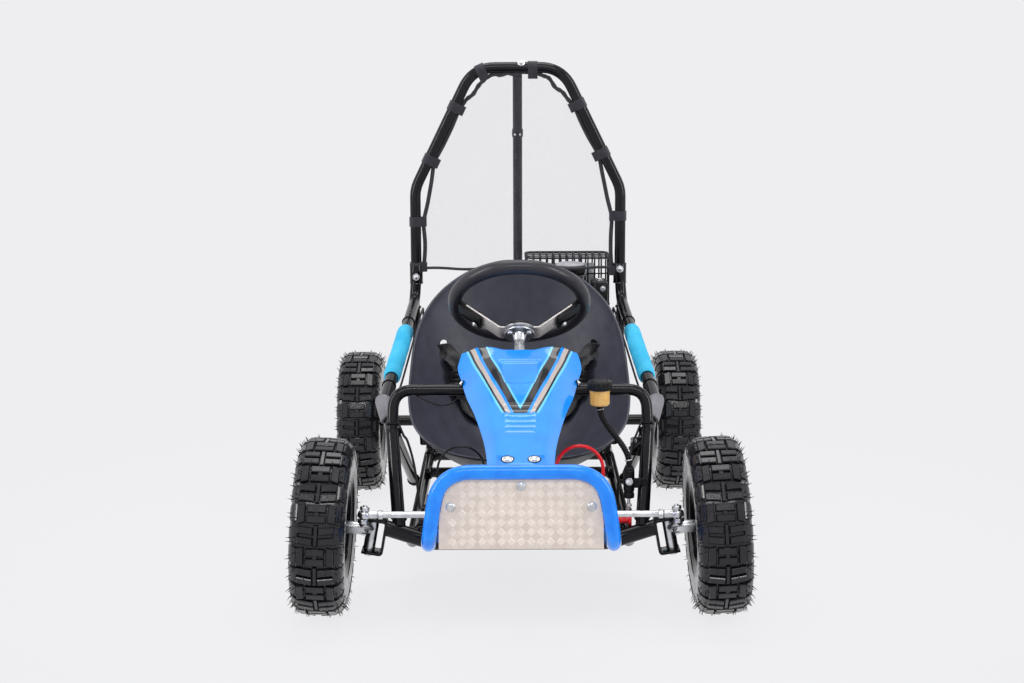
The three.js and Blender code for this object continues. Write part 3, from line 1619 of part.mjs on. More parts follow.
function placeTank() {
  const low = headTop() + fit + tankGap;
  const body = plate(roundedRect(tankX, tankY, tankWidth, tankDepth, tankCorner), low, tankTopZ - low, "xy");
  const capPoint = (z) => vec(fuelCapX, fuelCapY, z);
  const neck = bar(capPoint(tankTopZ), capPoint(tankTopZ + tankNeckHeight), tankNeckRadius, 16);
  const foot = (x, y) => boxAt(x, y, headTop() + fit, tankFootSize, tankFootSize, tankGap);
  const near = blockX + barrelInset;
  const far = blockY + blockDepth - 2 * barrelInset - tankFootSize;
  const front = blockY + barrelInset;
  const feet = [foot(near, front), foot(near, far), foot(near + coreSpan(), front)];
  place("fuel_tank", join(body, neck, ...feet), blackPlastic);
  const capLow = tankTopZ + fit;
  const cap = bar(capPoint(capLow), capPoint(capLow + fuelCapHeight), fuelCapRadius, 20);
  const top = tankTopZ + tankNeckHeight + fit;
  const bore = bar(capPoint(tankTopZ), capPoint(top), boreFor(tankNeckRadius, 16), 16);
  place("fuel_cap", cut(cap, bore), greyPlastic);
}

function coreSpan() {
  return blockWidth - 2 * barrelInset - tankFootSize;
}

function placeRecoil() {
  const face = blockX + blockWidth + fit;
  const centre = (x) => vec(x, crankY, recoilZ);
  const cover = bar(centre(face), centre(face + recoilDepth * (1 - recoilDomeShare)), recoilRadius, 20);
  const dome = bar(centre(face), centre(face + recoilDepth), recoilRadius * recoilDomeRadiusShare, 20);
  place("recoil_starter", join(cover, dome), blackPlastic);
  const handleX = face + (recoilDepth - recoilHandleWidth) / 2 - recoilHandleWidth / 4;
  const y = crankY + recoilRadius + fit;
  const z = recoilZ - recoilHandleLength / 2;
  const handle = boxAt(handleX, y, z, recoilHandleWidth, recoilHandleWidth, recoilHandleLength);
  place("recoil_handle", handle, blackPlastic);
}

function placeIntake() {
  const outline = roundedRect(filterX, filterY, filterWidth, filterDepth, filterCorner);
  const box = plate(outline, filterLowZ, filterTopZ - filterLowZ, "xy");
  place("air_filter_box", box, blackPlastic);
  const x = filterX + filterWidth / 2;
  const body = bar(vec(x, carbY, carbLowZ), vec(x, carbY, filterLowZ - fit), carbRadius, 14);
  const wall = blockX + blockWidth - barrelInset + finOverhang + fit;
  const inlet = bar(vec(wall, carbY, carbInletZ), vec(x, carbY, carbInletZ), carbInletRadius, 12);
  place("carburettor", join(body, inlet), aluminium);
}

function placeMuffler() {
  const outline = roundedRect(mufflerY, mufflerLowZ, mufflerDepth, mufflerTopZ - mufflerLowZ, mufflerCorner);
  const can = plate(outline, mufflerX, mufflerWidth, "yz");
  const finEdge = blockY + blockDepth - barrelInset + finOverhang + fit;
  const start = vec(pipeX, finEdge, pipeZ);
  const route = [start, vec(pipeX, pipeY, pipeZ), vec(pipeX, pipeY, mufflerLowZ + overrun)];
  const pipe = tube(route, pipeRadius, pipeBend, 10);
  place("muffler", join(can, pipe), steel);
}

// Welded wire guard over the muffler, standing on two posts.
function placeEngineGuard() {
  const corner = roundedRect(cageX, cageY, cageWidth, cageDepth, cageCorner, 2);
  const hoop = (z) => {
    const path = corner.map(([x, y]) => vec(x, y, z));
    const middle = path[0].clone().lerp(path[path.length - 1], 0.5);
    return sweep([middle, ...path, middle.clone()], guardWire, 6);
  };
  const wires = [];
  for (let i = 1; i < cageCells; i++) {
    const x = cageX + (cageWidth * i) / cageCells;
    wires.push(bar(vec(x, cageY, cageTopZ), vec(x, cageY + cageDepth, cageTopZ), guardWire, 6));
    wires.push(bar(vec(x, cageY + cageDepth, cageLowZ), vec(x, cageY + cageDepth, cageTopZ), guardWire, 6));
  }
  for (let i = 1; i < cageRows; i++) {
    const y = cageY + (cageDepth * i) / cageRows;
    wires.push(bar(vec(cageX, y, cageTopZ), vec(cageX + cageWidth, y, cageTopZ), guardWire, 6));
    wires.push(bar(vec(cageX, y, cageLowZ), vec(cageX, y, cageTopZ), guardWire, 6));
    wires.push(bar(vec(cageX + cageWidth, y, cageLowZ), vec(cageX + cageWidth, y, cageTopZ), guardWire, 6));
  }
  const middleY = cageY + cageDepth / cageRows;
  const post = (share) => {
    const x = mufflerX + mufflerWidth * share;
    return bar(vec(x, middleY, mufflerTopZ + fit), vec(x, middleY, cageTopZ), guardPostRadius);
  };
  const guard = join(hoop(cageTopZ), hoop(cageLowZ), ...wires, ...guardPostShares.map(post));
  place("engine_guard", guard, paintBlack);
}

// Cage net in the roll hoop: a flat knotted panel with a hem cord, held by straps looped round the hoop.
function netOutline(inset = 0) {
  const half = netHalfShares.map((share, i) => {
    const z = netBottomZ + (netTopZ - netBottomZ) * netHeightShares[i];
    return [netBottomHalf * share - inset, Math.min(Math.max(z, netBottomZ + inset), netTopZ - inset)];
  });
  return [...half, ...half.map(([x, z]) => [-x, z]).reverse()];
}

function netHoles() {
  const border = plate(netOutline(3 * netHemRadius), hoopY - netThick, 2 * netThick, "xz");
  const width = (2 * netBottomHalf) / netColumns;
  const height = (netTopZ - netBottomZ) / netRows;
  const cells = [];
  for (let i = 0; i < netColumns; i++) {
    for (let k = 0; k < netRows; k++) {
      const x = -netBottomHalf + width * i + netCord / 2;
      const z = netBottomZ + height * k + netCord / 2;
      cells.push(boxAt(x, hoopY - netThick, z, width - netCord, 2 * netThick, height - netCord));
    }
  }
  return join(...cells).intersect(border);
}

function strapLoop(at, along) {
  const half = along.clone().setLength(strapWidth / 2);
  const bore = boreFor(frameRadius, 8);
  const past = along.clone().setLength(strapWidth);
  const ring = bar(at.clone().sub(half), at.clone().add(half), bore + strapThick);
  return cut(ring, bar(at.clone().sub(past), at.clone().add(past), bore));
}

function placeNet() {
  const panel = plate(netOutline(), hoopY - netThick / 2, netThick, "xz");
  const within = netOutline(2 * netHemRadius);
  const hem = plate(netOutline(), hoopY - netHemRadius, 2 * netHemRadius, "xz", [within]);
  const path = hoopPath();
  const [, bend, corner] = path;
  const slant = corner.clone().sub(bend);
  const strap = ([at, along]) => {
    const inward = vec(-along.z, 0, along.x).normalize();
    const tongueEnd = at.clone().addScaledVector(inward, strapReach);
    const half = along.clone().setLength(strapWidth / 2);
    const corners = [
      at.clone().sub(half),
      at.clone().add(half),
      tongueEnd.clone().add(half),
      tongueEnd.clone().sub(half),
    ];
    const tongue = plate(corners.map((p) => [p.x, p.z]), hoopY - netThick / 2, netThick, "xz");
    const past = along.clone().setLength(strapWidth);
    const inside = bar(at.clone().sub(past), at.clone().add(past), boreFor(frameRadius, 8));
    return join(strapLoop(at, along), cut(tongue, inside));
  };
  const sides = [
    ...sideStrapZs.map((z) => [vec(hoopX, hoopY, z), vec(0, 0, 1)]),
    ...slantStrapShares.map((share) => [bend.clone().addScaledVector(slant, share), slant]),
  ];
  const tops = topStrapXs.map((x) => [vec(x, hoopY, hoopTopZ), vec(-1, 0, 0)]);
  const straps = join(bothSides(join(...sides.map(strap))), ...tops.map(strap));
  place("cage_net", join(cut(panel, netHoles()), hem, straps), netCloth);
}

placeWheels();
place("lower_frame", lowerFrame(), paintBlack);
placeSideTubes();
placeFoam();
placeLegHoop();
placeRollHoop();
placeStrut();
placeBumper();
placeBumperPlate();
placeFloorPan();
placeSeat();
placeBelt();
placeSideGuards();
placeFairing();
placeSteering();
placeTieRods();
placeFrontEnds();
placePedals();
placeMaster();
placeReservoir();
placeHose();
placeLines();
placeAxle();
placeDrive();
placeCaliper();
placeClutch();
placeChain();
placeEngine();
placeTank();
placeRecoil();
placeIntake();
placeMuffler();
placeEngineGuard();
placeNet();

export default parts;
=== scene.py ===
import json
import math
from itertools import product
from math import cos, pi, radians, sin

import bmesh
import bpy
from mathutils import Matrix, Vector
from mathutils.geometry import tessellate_polygon

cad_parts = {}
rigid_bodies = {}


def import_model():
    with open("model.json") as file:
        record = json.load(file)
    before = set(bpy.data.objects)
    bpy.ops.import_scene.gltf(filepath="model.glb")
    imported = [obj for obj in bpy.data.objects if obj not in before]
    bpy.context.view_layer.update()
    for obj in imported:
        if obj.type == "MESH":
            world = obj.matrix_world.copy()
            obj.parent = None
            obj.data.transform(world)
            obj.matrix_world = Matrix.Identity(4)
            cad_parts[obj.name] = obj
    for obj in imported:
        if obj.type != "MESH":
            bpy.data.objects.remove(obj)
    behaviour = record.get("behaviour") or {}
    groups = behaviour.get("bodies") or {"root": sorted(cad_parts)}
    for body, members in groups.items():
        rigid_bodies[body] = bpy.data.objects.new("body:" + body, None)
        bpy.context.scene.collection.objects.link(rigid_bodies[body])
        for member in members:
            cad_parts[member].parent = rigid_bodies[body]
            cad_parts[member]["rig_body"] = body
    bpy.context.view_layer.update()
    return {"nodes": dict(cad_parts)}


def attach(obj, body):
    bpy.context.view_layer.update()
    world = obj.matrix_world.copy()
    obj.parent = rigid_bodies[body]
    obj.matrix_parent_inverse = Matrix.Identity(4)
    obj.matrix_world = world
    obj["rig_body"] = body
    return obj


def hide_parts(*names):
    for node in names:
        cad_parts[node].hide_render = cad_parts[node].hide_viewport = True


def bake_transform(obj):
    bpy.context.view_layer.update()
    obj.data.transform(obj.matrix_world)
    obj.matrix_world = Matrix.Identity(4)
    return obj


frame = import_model()

# Sizes are in millimetres, in the frame of the CAD model; pieces are scaled to metres when they are made.
MM = 0.001


def V(x, y, z):
    return Vector((x, y, z))


def flip(p):
    return Vector((-p[0], p[1], p[2]))


def turns(count):
    """Angles evenly spaced round a whole turn."""
    return [2 * pi * k / count for k in range(count)]


def arc(start, sweep, steps):
    """Angles from start over a sweep, with both ends."""
    return [start + sweep * k / steps for k in range(steps + 1)]


def add_object(name, data):
    """A new object in the scene, with its mesh, lamp or camera."""
    obj = bpy.data.objects.new(name, data)
    bpy.context.scene.collection.objects.link(obj)
    return obj


class Graph:
    """The shader nodes of one material or world, and the links between them."""

    def __init__(self, owner):
        owner.use_nodes = True
        self.nodes, self.links = owner.node_tree.nodes, owner.node_tree.links

    def add(self, kind, **values):
        node = self.nodes.new("ShaderNode" + kind)
        for key, value in values.items():
            if key in node.inputs:
                node.inputs[key].default_value = value
            else:
                setattr(node, key, value)
        return node

    def math(self, kind, *values):
        """A sum on numbers or other nodes' outputs."""
        node = self.add("Math", operation=kind)
        for i, value in enumerate(values):
            if isinstance(value, (int, float)):
                node.inputs[i].default_value = value
            else:
                self.links.new(value, node.inputs[i])
        return node.outputs[0]

    def map_range(self, source, low, high, start, end, **values):
        """The source, carried from low..high to start..end."""
        node = self.add("MapRange", **values)
        for name, value in (("From Min", low), ("From Max", high), ("To Min", start), ("To Max", end)):
            node.inputs[name].default_value = value
        self.links.new(source, node.inputs["Value"])
        return node.outputs["Result"]

    def mix_shaders(self, share, first, second):
        node = self.add("MixShader")
        for source, i in ((share, 0), (first, 1), (second, 2)):
            self.links.new(source, node.inputs[i])
        return node.outputs[0]

    def seen_rays(self):
        """1 where the ray comes from the camera, a glossy surface or through glass."""
        rays = self.add("LightPath").outputs
        shown = self.math("MAXIMUM", rays["Is Camera Ray"], rays["Is Glossy Ray"])
        return self.math("MAXIMUM", shown, rays["Is Transmission Ray"])


# Camera, light and floor

FOCAL_PIXELS = 1680.8
IMAGE_WIDTH = 1024
SENSOR = 36.0
CAMERA_AT = (-0.0147, -3.4704, 1.0455)
CAMERA_PITCH, CAMERA_ROLL = radians(9.984), radians(-0.228)


def add_camera():
    data = bpy.data.cameras.new("camera")
    data.sensor_width = SENSOR
    data.lens = FOCAL_PIXELS / IMAGE_WIDTH * SENSOR
    data.clip_start = 0.05
    camera = add_object("camera", data)
    camera.location = CAMERA_AT
    tilt = Matrix.Rotation(pi / 2 - CAMERA_PITCH, 4, "X") @ Matrix.Rotation(CAMERA_ROLL, 4, "Z")
    camera.rotation_euler = tilt.to_euler()
    bpy.context.scene.camera = camera


def tone(code):
    """An sRGB colour 0xRRGGBB as a linear one."""
    parts = [(code >> s & 255) / 255 for s in (16, 8, 0)]
    return tuple(c / 12.92 if c < 0.04045 else ((c + 0.055) / 1.055) ** 2.4 for c in parts) + (1.0,)


PALE = tone(0xEEEEF0)


def add_world():
    world = bpy.data.worlds.new("studio")
    bpy.context.scene.world = world
    graph = Graph(world)
    graph.nodes.clear()
    out = graph.add("OutputWorld")
    soft = graph.add("Background", Color=(1.0, 1.0, 1.0, 1.0), Strength=0.62)
    pale = graph.add("Background", Color=PALE, Strength=1.0)
    mixed = graph.mix_shaders(graph.seen_rays(), soft.outputs[0], pale.outputs[0])
    graph.links.new(mixed, out.inputs["Surface"])


def add_softbox(name, place, aim, size, power):
    data = bpy.data.lights.new(name, "AREA")
    data.shape = "RECTANGLE"
    data.size, data.size_y = size
    data.energy = power
    lamp = add_object(name, data)
    lamp.location = place
    lamp.rotation_euler = (Vector(place) - Vector(aim)).to_track_quat("Z", "Y").to_euler()


def add_lights():
    add_softbox("softbox_left", (-3.0, -1.2, 1.9), (0, 0, 0.4), (0.34, 2.8), 54)
    add_softbox("softbox_right", (3.0, -1.2, 1.9), (0, 0, 0.4), (0.34, 2.8), 54)
    add_softbox("softbox_front", (0.0, -3.4, 3.4), (0, 0, 0.3), (2.8, 0.3), 44)
    add_softbox("softbox_top", (0.0, 0.6, 3.6), (0, 0.1, 0.3), (2.0, 2.0), 46)


def floor_paper():
    """Pale paper that takes shadows near the object and fades into the background."""
    paper = bpy.data.materials.new("floor_paper")
    graph = Graph(paper)
    graph.nodes.clear()
    out = graph.add("OutputMaterial")
    lit = graph.add("BsdfDiffuse", Color=PALE).outputs[0]
    even = graph.add("Emission", Color=PALE).outputs[0]
    length = graph.add("VectorMath", operation="LENGTH")
    graph.links.new(graph.add("TexCoord").outputs["Object"], length.inputs[0])
    far = graph.map_range(length.outputs["Value"], 0.4, 1.6, 0.92, 1.0, interpolation_type="SMOOTHSTEP")
    near = graph.mix_shaders(far, lit, even)
    graph.links.new(graph.mix_shaders(graph.seen_rays(), lit, near), out.inputs["Surface"])
    return paper


def add_floor():
    mesh = bpy.data.meshes.new("floor")
    reach = 9.0
    corners = [(-reach, -reach, 0), (reach, -reach, 0), (reach, reach, 0), (-reach, reach, 0)]
    mesh.from_pydata(corners, [], [(0, 1, 2, 3)])
    mesh.materials.append(floor_paper())
    add_object("floor", mesh)


# Materials


class Finish(Graph):
    """A principled material whose colour, roughness and relief come from noise at the surface's own scale."""

    def __init__(self, name, metal=0.0, coat=0.0, coat_rough=0.05, sheen=0.0, shine=0.5):
        self.mat = bpy.data.materials.new(name)
        super().__init__(self.mat)
        self.shader = self.nodes["Principled BSDF"]
        for key, value in (("Metallic", metal), ("Coat Weight", coat), ("Coat Roughness", coat_rough),
                           ("Sheen Weight", sheen), ("Specular IOR Level", shine)):
            self.shader.inputs[key].default_value = value
        self.place = self.add("TexCoord").outputs["Object"]

    def shade(self, source, name):
        """Feeds one input of the shader."""
        self.links.new(source, self.shader.inputs[name])
        return self

    def stretched(self, scale):
        node = self.add("Mapping", Scale=scale)
        self.links.new(self.place, node.inputs["Vector"])
        return node.outputs[0]

    def noise(self, scale, detail=4.0, place=None):
        node = self.add("TexNoise", Scale=scale, Detail=detail, Roughness=0.55)
        self.links.new(place or self.place, node.inputs["Vector"])
        return node.outputs["Fac"]

    def ramp(self, source, stops, constant=False):
        node = self.add("ValToRGB")
        node.color_ramp.interpolation = "CONSTANT" if constant else "LINEAR"
        while len(node.color_ramp.elements) < len(stops):
            node.color_ramp.elements.new(0.5)
        for element, (at, colour) in zip(node.color_ramp.elements, stops):
            element.position = at
            element.color = colour
        self.links.new(source, node.inputs[0])
        return node.outputs["Color"]

    def colour(self, dark, light, scale, place=None):
        shade = self.ramp(self.noise(scale, place=place), [(0.35, tone(dark)), (0.65, tone(light))])
        return self.shade(shade, "Base Color")

    def rough(self, low, high, scale, place=None):
        return self.shade(self.map_range(self.noise(scale, place=place), 0.3, 0.7, low, high), "Roughness")

    def relief(self, source, depth, strength=1.0):
        node = self.add("Bump", Distance=depth * MM, Strength=strength)
        self.links.new(source, node.inputs["Height"])
        return self.shade(node.outputs["Normal"], "Normal")


def gloss_paint(name, dark, light, coat=0.1, shine=0.2):
    paint = Finish(name, coat=coat, coat_rough=0.03, shine=shine)
    paint.colour(dark, light, 30).rough(0.1, 0.2, 60)
    return paint.relief(paint.noise(90, 2.0), 0.04, 0.18).mat


def bare_metal(name, dark, light, low, high, stretch=(1, 1, 1), depth=0.03, metal=1.0):
    finish = Finish(name, metal=metal)
    along = finish.stretched(stretch)
    finish.colour(dark, light, 60, place=along).rough(low, high, 120, place=along)
    return finish.relief(finish.noise(300, 3.0, along), depth, 0.35).mat


def moulded(name, dark, light, low, high, grain=700, depth=0.12, coat=0.0, shine=0.25):
    plastic = Finish(name, coat=coat, shine=shine)
    plastic.colour(dark, light, 18).rough(low, high, 60)
    return plastic.relief(plastic.noise(grain, 3.0), depth, 0.6).mat


def woven(name, dark, light, pitch, low=0.75, high=0.95):
    """Webbing: crossing sets of yarns, with a soft sheen."""
    cloth = Finish(name, sheen=0.25)
    yarns = []
    for axis in ((1, 1, 0), (0, 1, 1), (1, 0, 1)):
        dot = cloth.add("VectorMath", operation="DOT_PRODUCT")
        cloth.links.new(cloth.place, dot.inputs[0])
        dot.inputs[1].default_value = [2 * pi / (pitch * MM) * a for a in axis]
        yarns.append(cloth.math("SINE", dot.outputs["Value"]))
    total = cloth.math("ADD", cloth.math("MULTIPLY", yarns[0], yarns[1]), yarns[2])
    cloth.shade(cloth.ramp(total, [(0.0, tone(dark)), (0.9, tone(light))]), "Base Color")
    return cloth.rough(low, high, 80).relief(total, 0.12, 0.8).mat


def net_cloth():
    """Sheer knitted panel: fine threads with open gaps between them."""
    cloth = Finish("sheer_net", shine=0.0)
    cloth.colour(0x8C8894, 0x9A96A2, 14).rough(0.8, 0.95, 60)
    cloth.relief(cloth.noise(7, 3.0, cloth.stretched((1.0, 1.0, 0.55))), 9.0, 0.7)
    weave = cloth.add("TexVoronoi", Scale=330.0, feature="DISTANCE_TO_EDGE")
    cloth.links.new(cloth.place, weave.inputs["Vector"])
    thread = cloth.map_range(weave.outputs["Distance"], 0.02, 0.07, 0.11, 0.035)
    return cloth.shade(thread, "Alpha").mat


def tyre_rubber():
    rubber = Finish("tyre_rubber", coat=0.3, coat_rough=0.1, shine=0.3)
    rubber.colour(0x0D0C11, 0x18171D, 25).rough(0.16, 0.34, 40)
    return rubber.relief(rubber.noise(150, 4.0), 0.35, 0.6).mat


def amber_plastic():
    amber = Finish("amber_plastic")
    amber.shader.inputs["Subsurface Weight"].default_value = 0.3
    amber.shader.inputs["Subsurface Radius"].default_value = (0.006, 0.003, 0.001)
    amber.colour(0xD9A455, 0xEFC47C, 35).rough(0.25, 0.38, 90)
    return amber.relief(amber.noise(300, 2.0), 0.05, 0.5).mat


def checker_metal():
    plate = Finish("tread_plate_metal", metal=0.4)
    plate.colour(0xD2C5BD, 0xDED2CA, 60).rough(0.4, 0.52, 70)
    return plate.relief(plate.noise(420, 4.0), 0.08, 0.6).mat


def striped_blue():
    """Fairing plastic with a plain set of slanted bands printed along both flanks."""
    skin = Finish("fairing_blue", coat=0.4, coat_rough=0.03, shine=0.3)
    split = skin.add("SeparateXYZ")
    skin.links.new(skin.place, split.inputs[0])
    side = skin.math("ABSOLUTE", split.outputs["X"])
    along = skin.math("MULTIPLY_ADD", split.outputs["Y"], -1.0, -0.24)
    share = skin.math("MULTIPLY", skin.math("MULTIPLY_ADD", along, 0.30, side), 6.0)
    blue, deep = tone(0x1E92F4), tone(0x1584EA)
    ink, sand, sky = tone(0x2A2A2C), tone(0xB4A9A4), tone(0x63C4FA)
    bare, full = (0, 0, 0, 1), (1, 1, 1, 1)
    base = skin.ramp(skin.noise(14), [(0.3, deep), (0.7, blue)])
    bands = skin.ramp(share, [(0.0, blue), (0.375, sky), (0.395, ink), (0.49, blue), (0.525, sand),
                              (0.575, ink), (0.6, sky), (0.625, blue)], True)
    printed = skin.ramp(share, [(0.0, bare), (0.375, full), (0.49, bare), (0.525, full), (0.625, bare)], True)
    fade = skin.math("GREATER_THAN", skin.math("MULTIPLY_ADD", along, -1.0, 0.235), 0.0)
    mix = skin.add("Mix", data_type="RGBA")
    for source, name in ((skin.math("MULTIPLY", printed, fade), "Factor"), (base, "A"), (bands, "B")):
        skin.links.new(source, mix.inputs[name])
    skin.shade(mix.outputs["Result"], "Base Color")
    return skin.rough(0.12, 0.22, 60).relief(skin.noise(200, 2.0), 0.04, 0.4).mat


MAT = {
    "black": gloss_paint("black_paint", 0x0A0A0E, 0x121217),
    "blue": gloss_paint("blue_paint", 0x0F78E4, 0x1C88F0, 0.2, 0.3),
    "red": gloss_paint("red_paint", 0xCC1220, 0xDA222C, 0.12, 0.22),
    "zinc": bare_metal("bright_zinc", 0xBCBEC2, 0xDADBDE, 0.24, 0.36, depth=0.003),
    "wire": moulded("wire_paint", 0x070708, 0x0E0E10, 0.5, 0.7, 300, 0.03, 0.0, 0.08),
    "steel": bare_metal("plain_steel", 0x74767A, 0xA2A4A8, 0.32, 0.5),
    "dark_steel": bare_metal("dark_steel", 0x3E3F42, 0x66676A, 0.35, 0.55),
    "cast": bare_metal("cast_aluminium", 0x8F9092, 0xB9BABB, 0.42, 0.62, depth=0.2),
    "spoke": bare_metal("brushed_aluminium", 0xB4AFAD, 0xD2CCCA, 0.42, 0.56, (1, 18, 18), metal=0.6),
    "plate": checker_metal(),
    # The raised bars get a lighter colour than the plate they belong to: painted highlight on the bars.
    "bars": bare_metal("tread_bar_metal_painted_highlight", 0xE2D7CF, 0xECE2DA, 0.3, 0.42, metal=0.35),
    "tyre": tyre_rubber(),
    "rubber": moulded("black_rubber", 0x0C0C0E, 0x151517, 0.45, 0.62, 500, 0.2, 0.0, 0.18),
    "plastic": moulded("black_plastic", 0x0D0D0F, 0x17171A, 0.32, 0.5, 600, 0.12, 0.0, 0.2),
    "grip": moulded("grip_foam", 0x1B1B21, 0x25252C, 0.32, 0.42, 450, 0.1, 0.06, 0.4),
    "seat": moulded("seat_plastic", 0x2E2F3B, 0x3A3B48, 0.42, 0.54, 550, 0.14, 0.0, 0.6),
    # Used only for the side guards: their pale grey is partly the cover's colour and partly painted
    # reflection of the tube's bend.
    "grey": moulded("grey_plastic", 0x66656C, 0x7A7980, 0.35, 0.5, 500, 0.1),
    "light": moulded("light_grey_plastic", 0x9A9BA0, 0xBFC0C4, 0.35, 0.5, 500, 0.1),
    "fairing": striped_blue(),
    "foam": moulded("cyan_foam", 0x2CA6D2, 0x42B4DC, 0.7, 0.85, 320, 0.5),
    "web": woven("black_webbing", 0x101018, 0x2A2A36, 1.6),
    "belt": woven("glossy_webbing", 0x0C0C10, 0x202026, 1.6, 0.3, 0.45),
    "net": net_cloth(),
    "amber": amber_plastic(),
}


# Forms


BEND_STEP = radians(7.5)
SHARP_ANGLE = radians(40)


def rounded(points, bend):
    """A polyline with its corners rounded into curves, or unchanged where bend is 0."""
    points = [Vector(p) for p in points]
    path = [points[0]]
    for before, here, after in zip(points, points[1:], points[2:]):
        a, b = before - here, after - here
        turn = pi - a.angle(b)
        reach = min(bend * math.tan(turn / 2), 0.48 * min(a.length, b.length))
        if reach < 1e-6:
            path.append(here)
            continue
        start, end = here + a.normalized() * reach, here + b.normalized() * reach
        steps = max(2, round(turn / BEND_STEP))
        for k in range(steps + 1):
            t = k / steps
            near = start.lerp(here, t)
            path.append(near.lerp(here.lerp(end, t), t))
    path.append(points[-1])
    return path


def curve(a, b, c, d, t):
    """A place between b and c on the smooth curve through four points."""
    return 0.5 * (2 * b + (c - a) * t + (2 * a - 5 * b + 4 * c - d) * t * t + (3 * b - a - 3 * c + d) * t**3)


def smooth_line(points, steps):
    """A curve through the points, with steps spans between each two."""
    points = [Vector(p) for p in points]
    ends = [2 * points[0] - points[1], *points, 2 * points[-1] - points[-2]]
    line = []
    for a, b, c, d in zip(ends, ends[1:], ends[2:], ends[3:]):
        line += [curve(a, b, c, d, k / steps) for k in range(steps)]
    line.append(points[-1])
    return line


def tangent(path, i):
    """The direction of a path at one of its points."""
    return (path[min(i + 1, len(path) - 1)] - path[max(i - 1, 0)]).normalized()


def frames(path):
    """Two directions across the path at each of its points, carried along without twist."""
    tangents = [tangent(path, i) for i in range(len(path))]
    first = tangents[0].cross(V(0, 0, 1))
    if first.length < 0.1:
        first = tangents[0].cross(V(0, 1, 0))
    first.normalize()
    made = []
    for along in tangents:
        first = (first - along * first.dot(along)).normalized()
        made.append((first, along.cross(first)))
    return made


def circle(centre, a, b, radius, sides):
    return [centre + a * (radius * cos(t)) + b * (radius * sin(t)) for t in turns(sides)]


def across_axis(axis):
    """An axis as a unit direction, and two directions square to it."""
    axis = Vector(axis).normalized()
    a = axis.cross(V(0, 0, 1) if abs(axis.z) < 0.9 else V(0, 1, 0)).normalized()
    return axis, a, axis.cross(a)


def basis(x, y, z):
    """The turn that carries the axes onto three directions."""
    return Matrix((x, y, z)).transposed().to_4x4()


